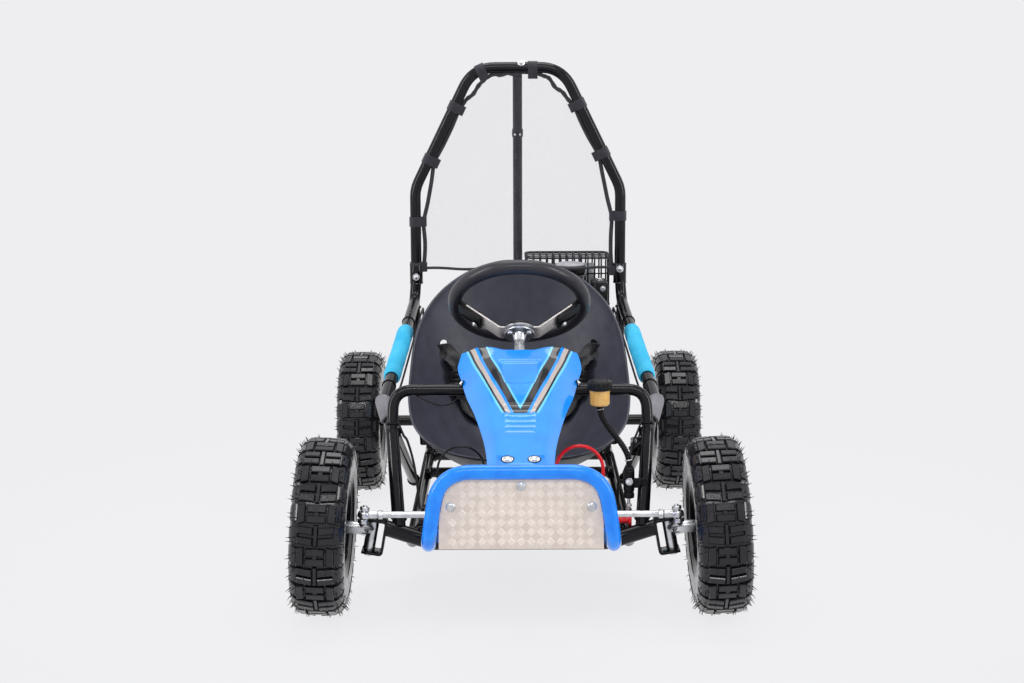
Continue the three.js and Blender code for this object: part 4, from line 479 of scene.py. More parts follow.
class Form:
    """The faces of one piece, gathered in millimetres."""

    def __init__(self):
        self.points, self.faces = [], []

    def skin(self, rings, endless=False):
        """Faces between rings of points, with flat ends unless the last ring meets the first."""
        base, count = len(self.points), len(rings[0])
        self.points += [Vector(p) for ring in rings for p in ring]
        spans = len(rings) if endless else len(rings) - 1
        for r in range(spans):
            here, there = base + r * count, base + (r + 1) % len(rings) * count
            for i in range(count):
                j = (i + 1) % count
                self.faces.append((here + i, here + j, there + j, there + i))
        if not endless:
            last = base + (len(rings) - 1) * count
            self.faces.append(tuple(range(base + count - 1, base - 1, -1)))
            self.faces.append(tuple(range(last, last + count)))
        return self

    def tube(self, points, radius, bend=0.0, sides=20, chamfer=0.8):
        path = rounded(points, bend)
        ends = chamfer > 0
        if ends:
            start = path[0].lerp(path[1], min(0.4, chamfer / (path[1] - path[0]).length))
            stop = path[-1].lerp(path[-2], min(0.4, chamfer / (path[-2] - path[-1]).length))
            path = [path[0], start, *path[1:-1], stop, path[-1]]
        rings = []
        for i, (point, (a, b)) in enumerate(zip(path, frames(path))):
            tip = ends and i in (0, len(path) - 1)
            rings.append(circle(point, a, b, radius - (chamfer if tip else 0), sides))
        return self.skin(rings)

    def turned(self, profile, centre, axis, sides=48, endless=True):
        """A closed profile of (along, radius) turned about an axis."""
        axis, a, b = across_axis(axis)
        rings = [circle(Vector(centre) + axis * along, a, b, max(r, 1e-3), sides) for along, r in profile]
        return self.skin(rings, endless=endless)

    def disc(self, centre, axis, radius, height, sides=32, chamfer=0.8):
        """A round slab from its centre along the axis, with chamfered rims."""
        c = min(chamfer, height * 0.4, radius * 0.4)
        profile = [(0, radius - c), (c, radius), (height - c, radius), (height, radius - c)]
        return self.turned(profile, centre, axis, sides, endless=False)

    def dome(self, centre, axis, radius, height, sides=24):
        profile = [(height * sin(t), radius * cos(t)) for t in arc(0, pi / 2, 6)]
        return self.turned(profile, centre, axis, sides, endless=False)

    def hexagon(self, centre, axis, radius, height):
        c = height * 0.16
        profile = [(0, radius), (height - c, radius), (height, radius * 0.86)]
        return self.turned(profile, centre, axis, 6, endless=False)

    def bolt(self, centre, axis, radius, height, kind="hex"):
        """A bolt's head on its washer."""
        centre, axis = Vector(centre), Vector(axis).normalized()
        washer = height * 0.22
        self.disc(centre, axis, radius * 1.35, washer, 28, washer * 0.3)
        seat = centre + axis * washer
        if kind == "hex":
            return self.hexagon(seat, axis, radius, height - washer)
        self.dome(seat, axis, radius, height - washer)
        return self.hexagon(seat + axis * (height - washer) * 0.72, axis, radius * 0.5, height * 0.2)

    def ring(self, centre, axis, major, minor, sides=40, round_sides=10, ripple=0.0, ripples=0):
        """A torus; ripple makes it swell and thin round its turn, as a weld bead does."""
        axis, a, b = across_axis(axis)
        rings = []
        for turn in turns(sides):
            out = a * cos(turn) + b * sin(turn)
            here = minor * (1 + ripple * sin(ripples * turn))
            rings.append(circle(Vector(centre) + out * major, out, axis, here, round_sides))
        return self.skin(rings, endless=True)

    def plate(self, outline, start, thick, plane="xz", holes=()):
        """A flat outline, with holes, pushed along the third axis from start."""
        axes = {"xz": (0, 2, 1), "yz": (1, 2, 0), "xy": (0, 1, 2)}[plane]

        def lifted(pair, depth):
            point = [0.0, 0.0, 0.0]
            point[axes[0]], point[axes[1]], point[axes[2]] = pair[0], pair[1], depth
            return Vector(point)

        loops = [outline, *holes]
        flat = [[Vector((p[0], p[1], 0)) for p in loop] for loop in loops]
        triangles = tessellate_polygon(flat) if holes else [tuple(range(len(outline)))]
        base, total = len(self.points), sum(len(loop) for loop in loops)
        for depth in (start, start + thick):
            self.points += [lifted(p, depth) for loop in loops for p in loop]
        for face in triangles:
            self.faces.append(tuple(base + i for i in face))
            self.faces.append(tuple(base + total + i for i in reversed(face)))
        offset = base
        for loop in loops:
            n = len(loop)
            for i in range(n):
                j = (i + 1) % n
                self.faces.append((offset + i, offset + j, offset + total + j, offset + total + i))
            offset += n
        return self

    def block(self, low, high):
        x0, y0, z0 = low
        x1, y1, z1 = high
        return self.plate([(x0, y0), (x1, y0), (x1, y1), (x0, y1)], z0, z1 - z0, "xy")

    def placed(self, other, matrix):
        """The faces of another form, carried by a matrix."""
        base = len(self.points)
        self.points += [matrix @ p for p in other.points]
        self.faces += [tuple(base + i for i in face) for face in other.faces]
        return self

    def both(self):
        """Adds the mirror image of everything gathered so far."""
        copy = Form()
        copy.points, copy.faces = list(self.points), list(self.faces)
        return self.placed(copy, Matrix.Scale(-1, 4, (1, 0, 0)))

    def on_side(self, side):
        """Carries everything gathered so far to the other side, where the side is the right one."""
        if side < 0:
            self.points = [flip(p) for p in self.points]
        return self


def circle_points(a, b, radius, sides=24):
    return [(a + radius * cos(t), b + radius * sin(t)) for t in turns(sides)]


def rounded_rect(a, b, width, height, corner, steps=6):
    """A rectangle from its low corner, with round corners."""
    left, right, low, high = a + corner, a + width - corner, b + corner, b + height - corner
    made = []
    for x, y, quarter in ((right, low, -0.5), (right, high, 0.0), (left, high, 0.5), (left, low, 1.0)):
        for i in range(steps + 1):
            turn = pi * (quarter + i / (2 * steps))
            made.append((x + corner * cos(turn), y + corner * sin(turn)))
    return made


def hub_profile(bore, radius, half):
    """The section of a sleeve with chamfered rims, as long to one side as to the other."""
    end = [(half - 1, radius), (half, radius - 1), (half, bore)]
    return [(-along, reach) for along, reach in reversed(end)] + end


def ribbed(base, levels, sides, ribs, limit, size):
    """A knob with ribs round its side; a level is its height, its radius and how deep the ribs are there."""
    rings = []
    for z, radius, deep in levels:
        ring = []
        for turn in turns(sides):
            reach = radius + deep * max(-limit, min(limit, sin(ribs * turn))) * size
            ring.append(base + V(reach * cos(turn), reach * sin(turn), z))
        rings.append(ring)
    return Form().skin(rings)


def mesh_of(name, form, bevel, smooth, material, from_cad=False):
    """A mesh with the form's faces and rounded edges; a CAD form's triangles are first joined where flat."""
    mesh = bpy.data.meshes.new(name)
    mesh.from_pydata([p * MM for p in form.points], [], form.faces)
    work = bmesh.new()
    work.from_mesh(mesh)
    bmesh.ops.remove_doubles(work, verts=work.verts, dist=1e-5 if from_cad else 2e-6)
    if from_cad:
        bmesh.ops.dissolve_limit(work, angle_limit=radians(1), verts=work.verts, edges=work.edges)
    else:
        bmesh.ops.recalc_face_normals(work, faces=work.faces)
    if bevel:
        sharp = [e for e in work.edges if len(e.link_faces) == 2 and e.calc_face_angle(0) > SHARP_ANGLE]
        bmesh.ops.bevel(work, geom=sharp, offset=bevel * MM, offset_type="OFFSET", segments=2, profile=0.5,
                        affect="EDGES", clamp_overlap=True)
    work.to_mesh(mesh)
    work.free()
    mesh.shade_smooth()
    mesh.set_sharp_from_angle(angle=radians(smooth))
    mesh.materials.append(MAT[material])
    return mesh


def piece(name, form, body, slot, material, nodes=(), bevel=0.0, smooth=34, from_cad=False):
    """One piece of the object, from its form, riding on a body and standing for the named CAD nodes."""
    obj = add_object(name, mesh_of(name, form, bevel, smooth, material, from_cad))
    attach(obj, body)
    if nodes:
        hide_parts(*nodes)
    return obj


def dressed(node, slot, material, bevel):
    """A piece with a CAD node's own faces, whose edges are rounded."""
    source = frame["nodes"][node]
    form = Form()
    form.points = [v.co / MM for v in source.data.vertices]
    form.faces = [tuple(p.vertices) for p in source.data.polygons]
    return piece(node + "_form", form, source["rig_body"], slot, material, (node,), bevel, from_cad=True)


HANDS = ((1, "left"), (-1, "right"))
SIDES = (1, -1)


# Wheels

AXLE_Y = 450.0
CAMBER = radians(3)
FRONT_X, FRONT_Z = 365.0, 166.71
REAR_X, REAR_Z = 371.0, 165.0
AXLE_Z = 165.0
TREAD_RADIUS = 165.0
TREAD_ROOT = 153.0
HAIR_FLOOR = 0.2
PITCHES = 13


def wheel_matrix(side, front):
    mirror = Matrix.Scale(side, 4, (1, 0, 0))
    if front:
        turn = Matrix.Rotation(-side * CAMBER, 4, "Y")
        return Matrix.Translation((side * FRONT_X, -AXLE_Y, FRONT_Z)) @ turn @ mirror
    return Matrix.Translation((side * REAR_X, AXLE_Y, REAR_Z)) @ mirror


def carcass():
    """The tyre's casing: a closed section from bead to bead."""
    half = [(34, 77.8), (38, 79), (41, 84), (44.5, 92), (45.2, 94), (47, 96), (48.6, 108), (49.2, 120),
            (48.6, 134), (46.5, 145), (42.5, 152), (34, 156), (18, 158), (0, 158.5)]
    outer = half + [(-a, r) for a, r in reversed(half[:-1])]
    inner = [(-31, 80), (-38, 92), (-42, 118), (-38, 142), (-26, 150)]
    inner += [(-a, r) for a, r in reversed(inner)]
    return Form().turned(outer + inner, (0, 0, 0), (1, 0, 0), 96)


def knob(form, across, turn, wide, long, top, root, skew=0.0):
    """One tread block: across is its place over the tread, turn its angle round the wheel."""
    rings = []
    for level, (radius, grow) in enumerate(((root, 1.5), (top - 1.6, 0.35), (top, -0.9))):
        ring = []
        for a, b in ((-1, -1), (1, -1), (1, 1), (-1, 1)):
            x = across + a * (wide / 2 + grow)
            reach = radius - 0.0052 * x * x * (0.5 if level else 0.7)
            swing = turn + (b * (long / 2 + grow) + skew * a) / radius
            ring.append(V(x, reach * sin(swing), reach * cos(swing)))
        rings.append(ring)
    form.skin(rings)


def tread(turned=0.0):
    """Cross bars in pairs: by turns split by a centre rib, and whole between two side blocks."""
    form = Form()
    pitch = 2 * pi / PITCHES
    for i in range(PITCHES):
        at = pitch * i + turned
        half = at + pitch / 2
        knob(form, 0.0, at, 7.0, 38.0, 163.2, TREAD_ROOT)
        knob(form, 0.0, half, 9.0, 12.0, 162.4, TREAD_ROOT)
        for shift in (-9.6 / TREAD_RADIUS, 9.6 / TREAD_RADIUS):
            knob(form, 0.0, half + shift, 33.0, 12.6, 165.0, TREAD_ROOT)
            for side in SIDES:
                knob(form, side * 19.0, at + shift, 27.0, 12.6, 165.4, TREAD_ROOT, skew=side * 1.4)
        for side in SIDES:
            knob(form, side * 27.0, half, 13.0, 33.0, 165.6, TREAD_ROOT, skew=side * -1.5)
            knob(form, side * 33.5, at, 4.0, 30.0, 163.6, 152.0)
            shoulder(form, side, at + pitch * 0.03, 25.0)
            shoulder(form, side, half + pitch * 0.03, 29.0)
    return form


def shoulder(form, side, turn, long):
    """A block that wraps from the tread down the shoulder."""
    line = [(34.5, 160.6), (40.8, 157.0), (46.2, 150.0), (49.2, 140.5), (49.8, 131.0)]
    base = [(35.0, 150.0), (39.0, 148.0), (43.5, 142.0), (46.5, 135.0), (47.0, 129.0)]
    rings = []
    for (x, r), (bx, br) in zip(line, base):
        narrow = 1.0 if r > 145 else 0.72
        ring = []
        for px, pr, grow in ((bx, br, 1.5), (x, r, 0.0)):
            for b in ((-1, 1) if not ring else (1, -1)):
                swing = turn + b * (long * narrow / 2 + grow) / pr
                ring.append(V(side * px, pr * sin(swing), pr * cos(swing)))
        rings.append(ring)
    form.skin(rings)


HAIR_ROWS = ((47.0, 148.0, 0.9, 11.0, 62), (39.0, 158.0, 0.45, 9.0, 54), (19.0, 164.0, 0.15, 7.0, 40))


def hairs(form):
    """Moulding hairs: thin rubber whiskers left on the blocks and along the shoulders."""
    for x, r, lean, reach, count in HAIR_ROWS:
        for side in SIDES:
            for i in range(count):
                seed = i * 12.9 + x + side
                turn = 2 * pi * (i + 0.35 * sin(seed * 3.7)) / count
                aim = turn + 0.2 * cos(seed)
                out = V(side * (lean + 0.2 * sin(seed)), sin(aim), cos(aim))
                out.normalize()
                start = V(side * x, r * sin(turn), r * cos(turn)) - out * 1.5
                sway = V(0.5 * sin(seed * 2.3), 0.4 * cos(seed * 1.7), 0.4 * sin(seed)) * 1.6
                long = reach * (0.75 + 0.25 * sin(seed * 5.1))
                line = [start, start + out * (long * 0.5), start + out * (long + 1.5) + sway]
                a, b = frames(line)[0]
                form.skin([circle(q, a, b, size, 5) for q, size in zip(line, (1.25, 0.7, 0.2))])


def rim_form(inner, outer, bore):
    lip = 42.0
    profile = [
        (-inner, bore), (outer, bore), (outer, 20), (outer - 1, 22), (9, 24), (9, 30), (15, 38), (15, 58),
        (11, 66), (13, 71.5), (34, 71.5), (lip - 0.6, 80), (lip, 84.2), (lip - 1.6, 85), (lip - 3.4, 84),
        (37.2, 76.5), (26, 75.8), (22, 73.6), (-22, 73.6), (-26, 75.8), (-37.2, 76.5), (-lip + 3.4, 84),
        (-lip + 1.6, 85), (-lip, 84.2), (-lip + 0.6, 80), (-34, 71.5), (8, 69), (8, 66), (12, 56), (12, 40),
        (6.5, 32), (6.5, 24), (-inner + 1, 22), (-inner, 20),
    ]
    return Form().turned(profile, (0, 0, 0), (1, 0, 0), 72)


def wheel_trim(front):
    """Hub bolts round the disc, and the washer of a front wheel's nut."""
    form = Form()
    for k in range(4):
        turn = pi / 4 + pi / 2 * k
        form.bolt((15.2, 48 * sin(turn), 48 * cos(turn)), (1, 0, 0), 6.5, 6.5)
    if front:
        form.disc((24.6, 0, 0), (1, 0, 0), 15.5, 2.0, 32)
    return form


def add_wheels():
    for side, hand in HANDS:
        for front in (True, False):
            where = "front" if front else "rear"
            body = f"{hand}_front_wheel" if front else "rear_wheels"
            matrix = wheel_matrix(side, front)
            tyre, knobs = carcass(), tread(0.05 if front else 0.0)
            hairs(knobs)
            whole = Form().placed(tyre, matrix).placed(knobs, matrix)
            whole.points = [V(p.x, p.y, max(p.z, HAIR_FLOOR)) for p in whole.points]
            name = f"{where}_tyre_{hand}"
            piece(name + "_tread", whole, body, "tyre", "tyre", (name,), smooth=28)
            name = f"{where}_rim_{hand}"
            rim = rim_form(24, 24, 8.5) if front else rim_form(34, 13, 13)
            piece(name + "_dish", Form().placed(rim, matrix), body, "paint_black", "black", (name,))
            piece(name + "_bolts", Form().placed(wheel_trim(front), matrix), body, "zinc", "zinc")
            valve = Form().tube([(20, 0, 66), (30, 0, 64), (38, 0, 60)], 2.6, 6, 12)
            piece(f"{where}_valve_{hand}", Form().placed(valve, matrix), body, "rubber", "rubber")


# Frame

HOOP_X, HOOP_Y, HOOP_TOP_X, HOOP_TOP_Z, HOOP_BEND_Z = 236.0, 400.0, 101.0, 996.5, 722.0
HOOP_BEND = 80
TUBE = 12.5
STUB_TOP = 524.0
KNEE = V(240, 392, 462)
ELBOW = V(266, -225, 358)
LEG_TOP = V(243, -300, 393)
LEG_FOOT = V(245, -328, 317)
RAIL_X, RAIL_Z = 205, 118
BEAM_Y = -450
KINGPIN_AT = V(278, BEAM_Y, 150)
KINGPIN_LEAN = radians(10)
STRUT_TOP = V(0, HOOP_Y + TUBE, HOOP_TOP_Z)
STRUT_FOOT = V(0, 665.5, 160)
STRUT_WAY = (STRUT_FOOT - STRUT_TOP).normalized()
WELD = 2.6
WELD_PITCH = 5.0
SLEEVE_Z = 502


def sleeve_profile(bore, length, edge):
    """The section of a thin sleeve with softened rims."""
    radius = bore + 2.1
    rims = [(0, bore), (0, radius - 0.6), (edge, radius)]
    return rims + [(length - along, reach) for along, reach in reversed(rims)]


def weld(form, centre, axis, radius, minor=WELD):
    ripples = max(8, round(2 * pi * radius / WELD_PITCH))
    form.ring(centre, axis, radius, minor, ripples * 4, 8, 0.16, ripples)


def rail_path():
    x, z = RAIL_X, RAIL_Z
    side = [V(x, -442.5, 150), V(x, -390, z), V(x, 605.5, z), V(x, STRUT_FOOT.y, STRUT_FOOT.z)]
    return side + [flip(p) for p in reversed(side)]


def seat_low_point():
    outer = [away(seat_point(rim, s), SEAT_WALL) for s in (0, 0.16, 0.42, 0.72) for rim in seat_rim_raw()]
    return min(outer, key=lambda p: p.z)


def lean_matrix(side):
    """Carries a form from the king pin's own axes to the frame's."""
    turn = Matrix.Rotation(-KINGPIN_LEAN, 4, "Y")
    return Matrix.Scale(side, 4, (1, 0, 0)) @ Matrix.Translation(KINGPIN_AT) @ turn


def yoke():
    """The bent strip round the king pin's tube."""
    path = rounded([V(x, 0, z) for x, z in ((13, -34), (-27, -34), (-27, 34), (13, 34))], 9)
    wide, middle, rings = V(0, 18, 0), V(-7, 0, 0), []
    for i, point in enumerate(path):
        out = tangent(path, i).cross(V(0, 1, 0))
        inner = point + (-out if out.dot(middle - point) < 0 else out) * 5
        rings.append([point - wide, point + wide, inner + wide, inner - wide])
    return Form().skin(rings)


def pedal_lugs(form, side, half):
    for x in (111 - half - 5, 111 + half):
        outline = [(-452, 134), (-428, 134), (-428, 180), (-444, 180), (-452, 172)]
        start = x if side > 0 else -x - 5
        form.plate(outline, start, 5, "yz")


def lower_frame_tubes():
    form = Form()
    form.tube([V(x, BEAM_Y, z) for x, z in ((-252, 163), (-165, 135), (165, 135), (252, 163))], 15, 45, 24)
    form.tube(rail_path(), TUBE, 45, 20)
    low = seat_low_point()
    for y, z in ((-180, RAIL_Z), (290, RAIL_Z), (low.y, low.z - 11.3)):
        form.tube([V(-RAIL_X, y, z), V(RAIL_X, y, z)], 11, 0, 20)
        for side in SIDES:
            weld(form, (side * 192.0, y, z), (1, 0, 0), 11.4)
    for side in SIDES:
        foot, top = V(side * 227.3, 60, RAIL_Z), V(side * 244, -300, 312)
        form.tube([foot, top], 11, 0, 20)
        weld(form, foot.lerp(top, 0.045), top - foot, 11.6, 2.0)
        weld(form, foot.lerp(top, 0.975), top - foot, 11.4, 2.0)
    for y in (350, 562):
        legs = [(-RAIL_X, RAIL_Z), (-RAIL_X, 201), (RAIL_X, 201), (RAIL_X, RAIL_Z)]
        form.tube([V(x, y, z) for x, z in legs], 10, 20, 18)
        for side in SIDES:
            weld(form, (side * RAIL_X, y, 131.0), (0, 0, 1), 10.4)
    for side in SIDES:
        weld(form, (side * RAIL_X, -444.0, 148.0), (0, 0.35, -0.9), 12.6)
    return form


def lower_frame_plates():
    form = Form()
    for side in SIDES:
        form.placed(yoke(), lean_matrix(side))
        outline = rounded_rect(412, 118, 76, 85, 12)
        form.plate(outline, side * RAIL_X - 3, 6, "yz", [circle_points(AXLE_Y, AXLE_Z, 23.6, 28)])
        pedal_lugs(form, side, 50.3 if side > 0 else 49.2)
    form.plate(rounded_rect(50, 340, 138, 232, 8), 206, 11, "xy")
    bush = Form()
    top = TIE_COLUMN.z - 4.3
    profile = [(0, 10.6), (0, 17), (14, 17), (14, 10.6)]
    bush.turned(profile, (0, 0, top - 14), (0, 0, 1), 28)
    lug_end = COLUMN.inverted() @ V(0, BEAM_Y, 135)
    bush.block((-9, min(lug_end.y, -14), top - 14), (9, -13, top - 4))
    return form.placed(bush, COLUMN)


def frame_bolts():
    form = Form()
    for side in SIDES:
        for z, y in product((134, 194), (422, 478)):
            form.bolt((side * 217.4, y, z), (side, 0, 0), 5, 5)
    for x, y in product((62, 176), (352, 560)):
        form.bolt((x, y, 217.3), (0, 0, 1), 5.5, 6)
    return form


def side_tube(side):
    path = [V(HOOP_X, HOOP_Y, STUB_TOP), KNEE, ELBOW, LEG_FOOT, V(226, BEAM_Y, 163)]
    upright = [KNEE, V(222, 404, RAIL_Z)]
    form = Form().tube(path, TUBE, 40, 20).tube(upright, 11, 0, 18)
    weld(form, KNEE + V(-0.6, 0.4, -15.0), (-18, 12, -344), 11.6)
    weld(form, V(227.6, -438, 178), (18, -122, -154), 13.0)
    return form.on_side(side)


def leg_hoop():
    form = Form()
    legs = [flip(LEG_FOOT), flip(LEG_TOP), LEG_TOP, LEG_FOOT]
    form.tube(legs, 11, 38, 20)
    for side in SIDES:
        weld(form, V(side * 244.8, -323.0, 331.0), (0, 28, 76), 11.6)
    column = Form()
    bridge = COLUMN.inverted() @ V(0, LEG_TOP.y, LEG_TOP.z)
    profile = [(-17, 10.7), (-17, 15.6), (-15.6, 17), (15.6, 17), (17, 15.6), (17, 10.7)]
    column.turned(profile, (0, 0, bridge.z), (0, 0, 1), 36)
    column.block((-10, bridge.y, bridge.z - 16), (10, -15.5, bridge.z + 16))
    return form.placed(column, COLUMN)


def hoop_path():
    half = [V(HOOP_X, HOOP_Y, 512), V(HOOP_X, HOOP_Y, HOOP_BEND_Z), V(HOOP_TOP_X, HOOP_Y, HOOP_TOP_Z)]
    return half + [flip(p) for p in reversed(half)]


def roll_hoop():
    form = Form().tube(hoop_path(), TUBE, HOOP_BEND, 24)
    for side in SIDES:
        form.turned(sleeve_profile(12.9, 44, 0.8), (side * HOOP_X, HOOP_Y, SLEEVE_Z), (0, 0, 1), 32)
        weld(form, (side * HOOP_X, HOOP_Y, SLEEVE_Z + 44.5), (0, 0, 1), 13.4, 2.0)
        form.ring((side * HOOP_X, HOOP_Y, SLEEVE_Z + 1.4), (0, 0, 1), 14.6, 1.3, 40, 8)
    return form


def hoop_bolts():
    form = Form()
    form.bolt((9, HOOP_Y - 7.2, HOOP_TOP_Z + 10.0), (0, -0.72, 0.7), 6.2, 7.0, "dome")
    for side, z in ((1, 536), (-1, 519)):
        form.bolt((side * HOOP_X, HOOP_Y - 15, z), (0, -1, 0), 6.0, 6.0, "dome")
        form.bolt((side * HOOP_X, HOOP_Y + 15, z), (0, 1, 0), 6.0, 6.0)
    return form


def rear_strut():
    start, end = STRUT_TOP + STRUT_WAY * 4, STRUT_FOOT - STRUT_WAY * 12
    form = Form().tube([start, end], 11, 0, 22)
    form.turned(sleeve_profile(10.9, 17.2, 0.7), STRUT_TOP.lerp(STRUT_FOOT, 0.17), STRUT_WAY, 32)
    weld(form, end - STRUT_WAY * 3, STRUT_WAY, 11.5)
    weld(form, start + STRUT_WAY * 2, STRUT_WAY, 11.0, 2.0)
    return form


def strut_bolts():
    front = V(0, -1, 0) - STRUT_WAY * V(0, -1, 0).dot(STRUT_WAY)
    front.normalize()
    form = Form()
    for x in (-5.5, 5.5):
        form.bolt(STRUT_TOP.lerp(STRUT_FOOT, 0.18) + front * 11.4 + V(x, 0, 0), front, 2.4, 2.6, "dome")
    return form


def add_frame():
    black = ("frame", "paint_black", "black")
    piece("frame_tubes", lower_frame_tubes(), *black, ("lower_frame",), smooth=40)
    piece("frame_plates", lower_frame_plates(), *black, bevel=0.8)
    piece("frame_bolts", frame_bolts(), "frame", "zinc", "zinc")
    for side, hand in HANDS:
        name = f"side_tube_{hand}"
        piece(name + "_bent", side_tube(side), *black, (name,), smooth=40)
    piece("leg_hoop", leg_hoop(), *black, ("front_leg_hoop",), smooth=40)
    piece("cage_hoop", roll_hoop(), *black, ("roll_hoop",), smooth=40)
    piece("cage_bolts", hoop_bolts(), "frame", "zinc", "zinc")
    piece("cage_strut", rear_strut(), *black, ("rear_strut",), smooth=40)
    piece("strut_bolts", strut_bolts(), "frame", "zinc", "zinc")
    dressed("floor_pan", "paint_black", "black", 0.6)


# Foam sleeves, bumper and its plate


def on_side_tube(y):
    return KNEE.lerp(ELBOW, (KNEE.y - y) / (KNEE.y - ELBOW.y))


FOAM_FRONT, FOAM_REAR = -104, 186
FOAM_RADIUS, FOAM_BORE = 17.9, 12.9


def foam_sleeve(side):
    """A foam tube: crowned along its length, drawn in at its ends, with small dents."""
    start, end = on_side_tube(FOAM_FRONT), on_side_tube(FOAM_REAR)
    way = end - start
    a = way.normalized().cross(V(0, 0, 1)).normalized()
    b = way.normalized().cross(a)
    rings, count = [], 60
    for i in range(count + 1):
        t = i / count
        edge = min(t, 1 - t)
        radius = FOAM_RADIUS - 1.5 * math.exp(-edge * 26) - 2.2 * math.exp(-edge * 130)
        radius += 0.22 * sin(23 * t) + 0.14 * sin(61 * t + 1)
        ring = []
        for turn in turns(36):
            local = radius + 0.16 * sin(3 * turn + 9 * t)
            ring.append(start + way * t + a * (local * cos(turn)) + b * (local * sin(turn)))
        rings.append(ring)
    for t, flare in ((1.0, 0.5), (0.985, 0), (0.5, 0), (0.015, 0), (0.0, 0.5)):
        rings.append(circle(start + way * t, a, b, FOAM_BORE + flare, 36))
    form = Form().skin(rings, endless=True)
    return form.on_side(side)


def add_foam():
    for side, hand in HANDS:
        name = f"foam_sleeve_{hand}"
        sleeve = piece(name + "_soft", foam_sleeve(side), "frame", "foam", "foam", (name,))


BUMPER_Y = -665.0
BUMPER_TUBE = 13.0
BUMPER_BEND = 68
PLATE_LOW, PLATE_HIGH = 186.5, 305
PLATE_MIDDLE = 251
PLATE_BOLTS = ((122, 262), (-122, 262), (0, 299))
PLATE_FACE = -666.0
BAR_PITCH = 17.0
BAR_LENGTH, BAR_WIDTH = 14.4, 3.0


def bumper_path():
    half = [V(163, -457.5, 150), V(163, BUMPER_Y, 190), V(142, BUMPER_Y, 324)]
    return half + [flip(p) for p in reversed(half)]


def bumper_form():
    form = Form().tube(bumper_path(), BUMPER_TUBE, BUMPER_BEND, 26)
    for side in SIDES:
        weld(form, (side * 163.0, -461.0, 150.6), (0, 204, -44), 13.2)
    for x, z in ((132, 262), (-132, 262), (0, 311)):
        form.plate(rounded_rect(x - 18, z - 11, 36, 22, 3), -663.6, 3, "xz")
    return form


def foot_tab():
    """The flat tab that carries the fairing's foot."""
    end, inner = spine(1.0), spine(0.92)
    outline = [
        (BUMPER_Y, 326), (end.y, end.z - 1.5), (inner.y, inner.z - 1.8), (inner.y, inner.z - 7.4),
        (end.y, end.z - 7.4), (BUMPER_Y, 321),
    ]
    return Form().plate(outline, -42, 84, "yz")


def tread_plate():
    """The plate inside the bumper's hoop, its edge following the tube."""
    path, inner = rounded(bumper_path(), BUMPER_BEND), []
    for i, p in enumerate(path):
        if p.y > BUMPER_Y + 0.5 or p.z < PLATE_LOW:
            continue
        along = tangent(path, i)
        inward = V(along.z, 0, -along.x).normalized()
        inward = -inward if inward.dot(V(0, BUMPER_Y, 240) - p) < 0 else inward
        spot = p + inward * (BUMPER_TUBE + 0.4)
        inner.append((spot.x, spot.z))
    half = max(spot[0] for spot in inner) + 0.6
    return Form().plate([(half, PLATE_LOW), *inner, (-half, PLATE_LOW)], PLATE_FACE, 2.0, "xz")


def lozenge(form, x, z, turn):
    """One raised bar of the plate, rising in three steps."""
    rings = []
    for level, grow in ((0.1, 1.0), (-0.5, 0.86), (-0.85, 0.5)):
        ring, y = [], PLATE_FACE + level
        for t in turns(14):
            u, w = BAR_LENGTH / 2 * grow * cos(t), BAR_WIDTH / 2 * grow * sin(t)
            ring.append(V(x + u * cos(turn) - w * sin(turn), y, z + u * sin(turn) + w * cos(turn)))
        rings.append(ring)
    form.skin(rings)


def tread_bars():
    """Raised bars of the tread plate in threes, turned one way and the other by turns."""
    form = Form()
    for k, i in product(range(-4, 5), range(-9, 10)):
        x, z = BAR_PITCH * i, PLATE_MIDDLE + BAR_PITCH * k
        reach = 143 - (z - 191) * 0.155 - 0.006 * max(0.0, z - 262) ** 2
        at_bolt = any(math.hypot(x - bx, z - bz) < 14.5 for bx, bz in PLATE_BOLTS)
        if abs(x) > reach - 8 or not PLATE_LOW + 6 < z < PLATE_HIGH or at_bolt:
            continue
        turn = radians(45 if (i + k) % 2 else -45)
        for shift in (-3.6, 0.0, 3.6):
            lozenge(form, x - shift * sin(turn), z + shift * cos(turn), turn)
    return form


def screw(form, spot, radius):
    """A pan-headed screw, with a cross on its head."""
    form.disc(spot, (0, -1, 0), radius * 1.15, 0.8, 32, 0.3)
    form.dome(spot + V(0, -0.8, 0), (0, -1, 0), radius, 3.2, 32)
    deep = V(0, 1.4, 0)
    for turn in (radians(28), radians(118)):
        way = V(cos(turn), 0, sin(turn))
        half = V(-sin(turn), 0, cos(turn)) * 0.9
        rings = []
        for reach, lift in ((-0.55, -3.1), (-0.4, -3.75), (0.4, -3.75), (0.55, -3.1)):
            mid = spot + way * (radius * reach) + V(0, lift, 0)
            rings.append([mid - half, mid + half, mid + half + deep, mid - half + deep])
        form.skin(rings)


def add_bumper():
    piece("bumper_hoop", bumper_form(), "frame", "paint_blue", "blue", ("front_bumper",), smooth=40)
    piece("fairing_foot_tab", foot_tab(), "frame", "paint_blue", "blue", bevel=0.8)
    piece("tread_plate", tread_plate(), "frame", "checker_plate", "plate", ("bumper_plate",), bevel=0.5)
    # The bars are the plate's own metal drawn in a lighter colour: painted highlight.
    piece("tread_plate_bars", tread_bars(), "frame", "checker_plate", "bars", smooth=60)
    form = Form()
    for x, z in PLATE_BOLTS:
        screw(form, V(x, -666.2, z), 7.6)
    piece("tread_plate_bolts", form, "frame", "zinc", "zinc")


# Seat and harness

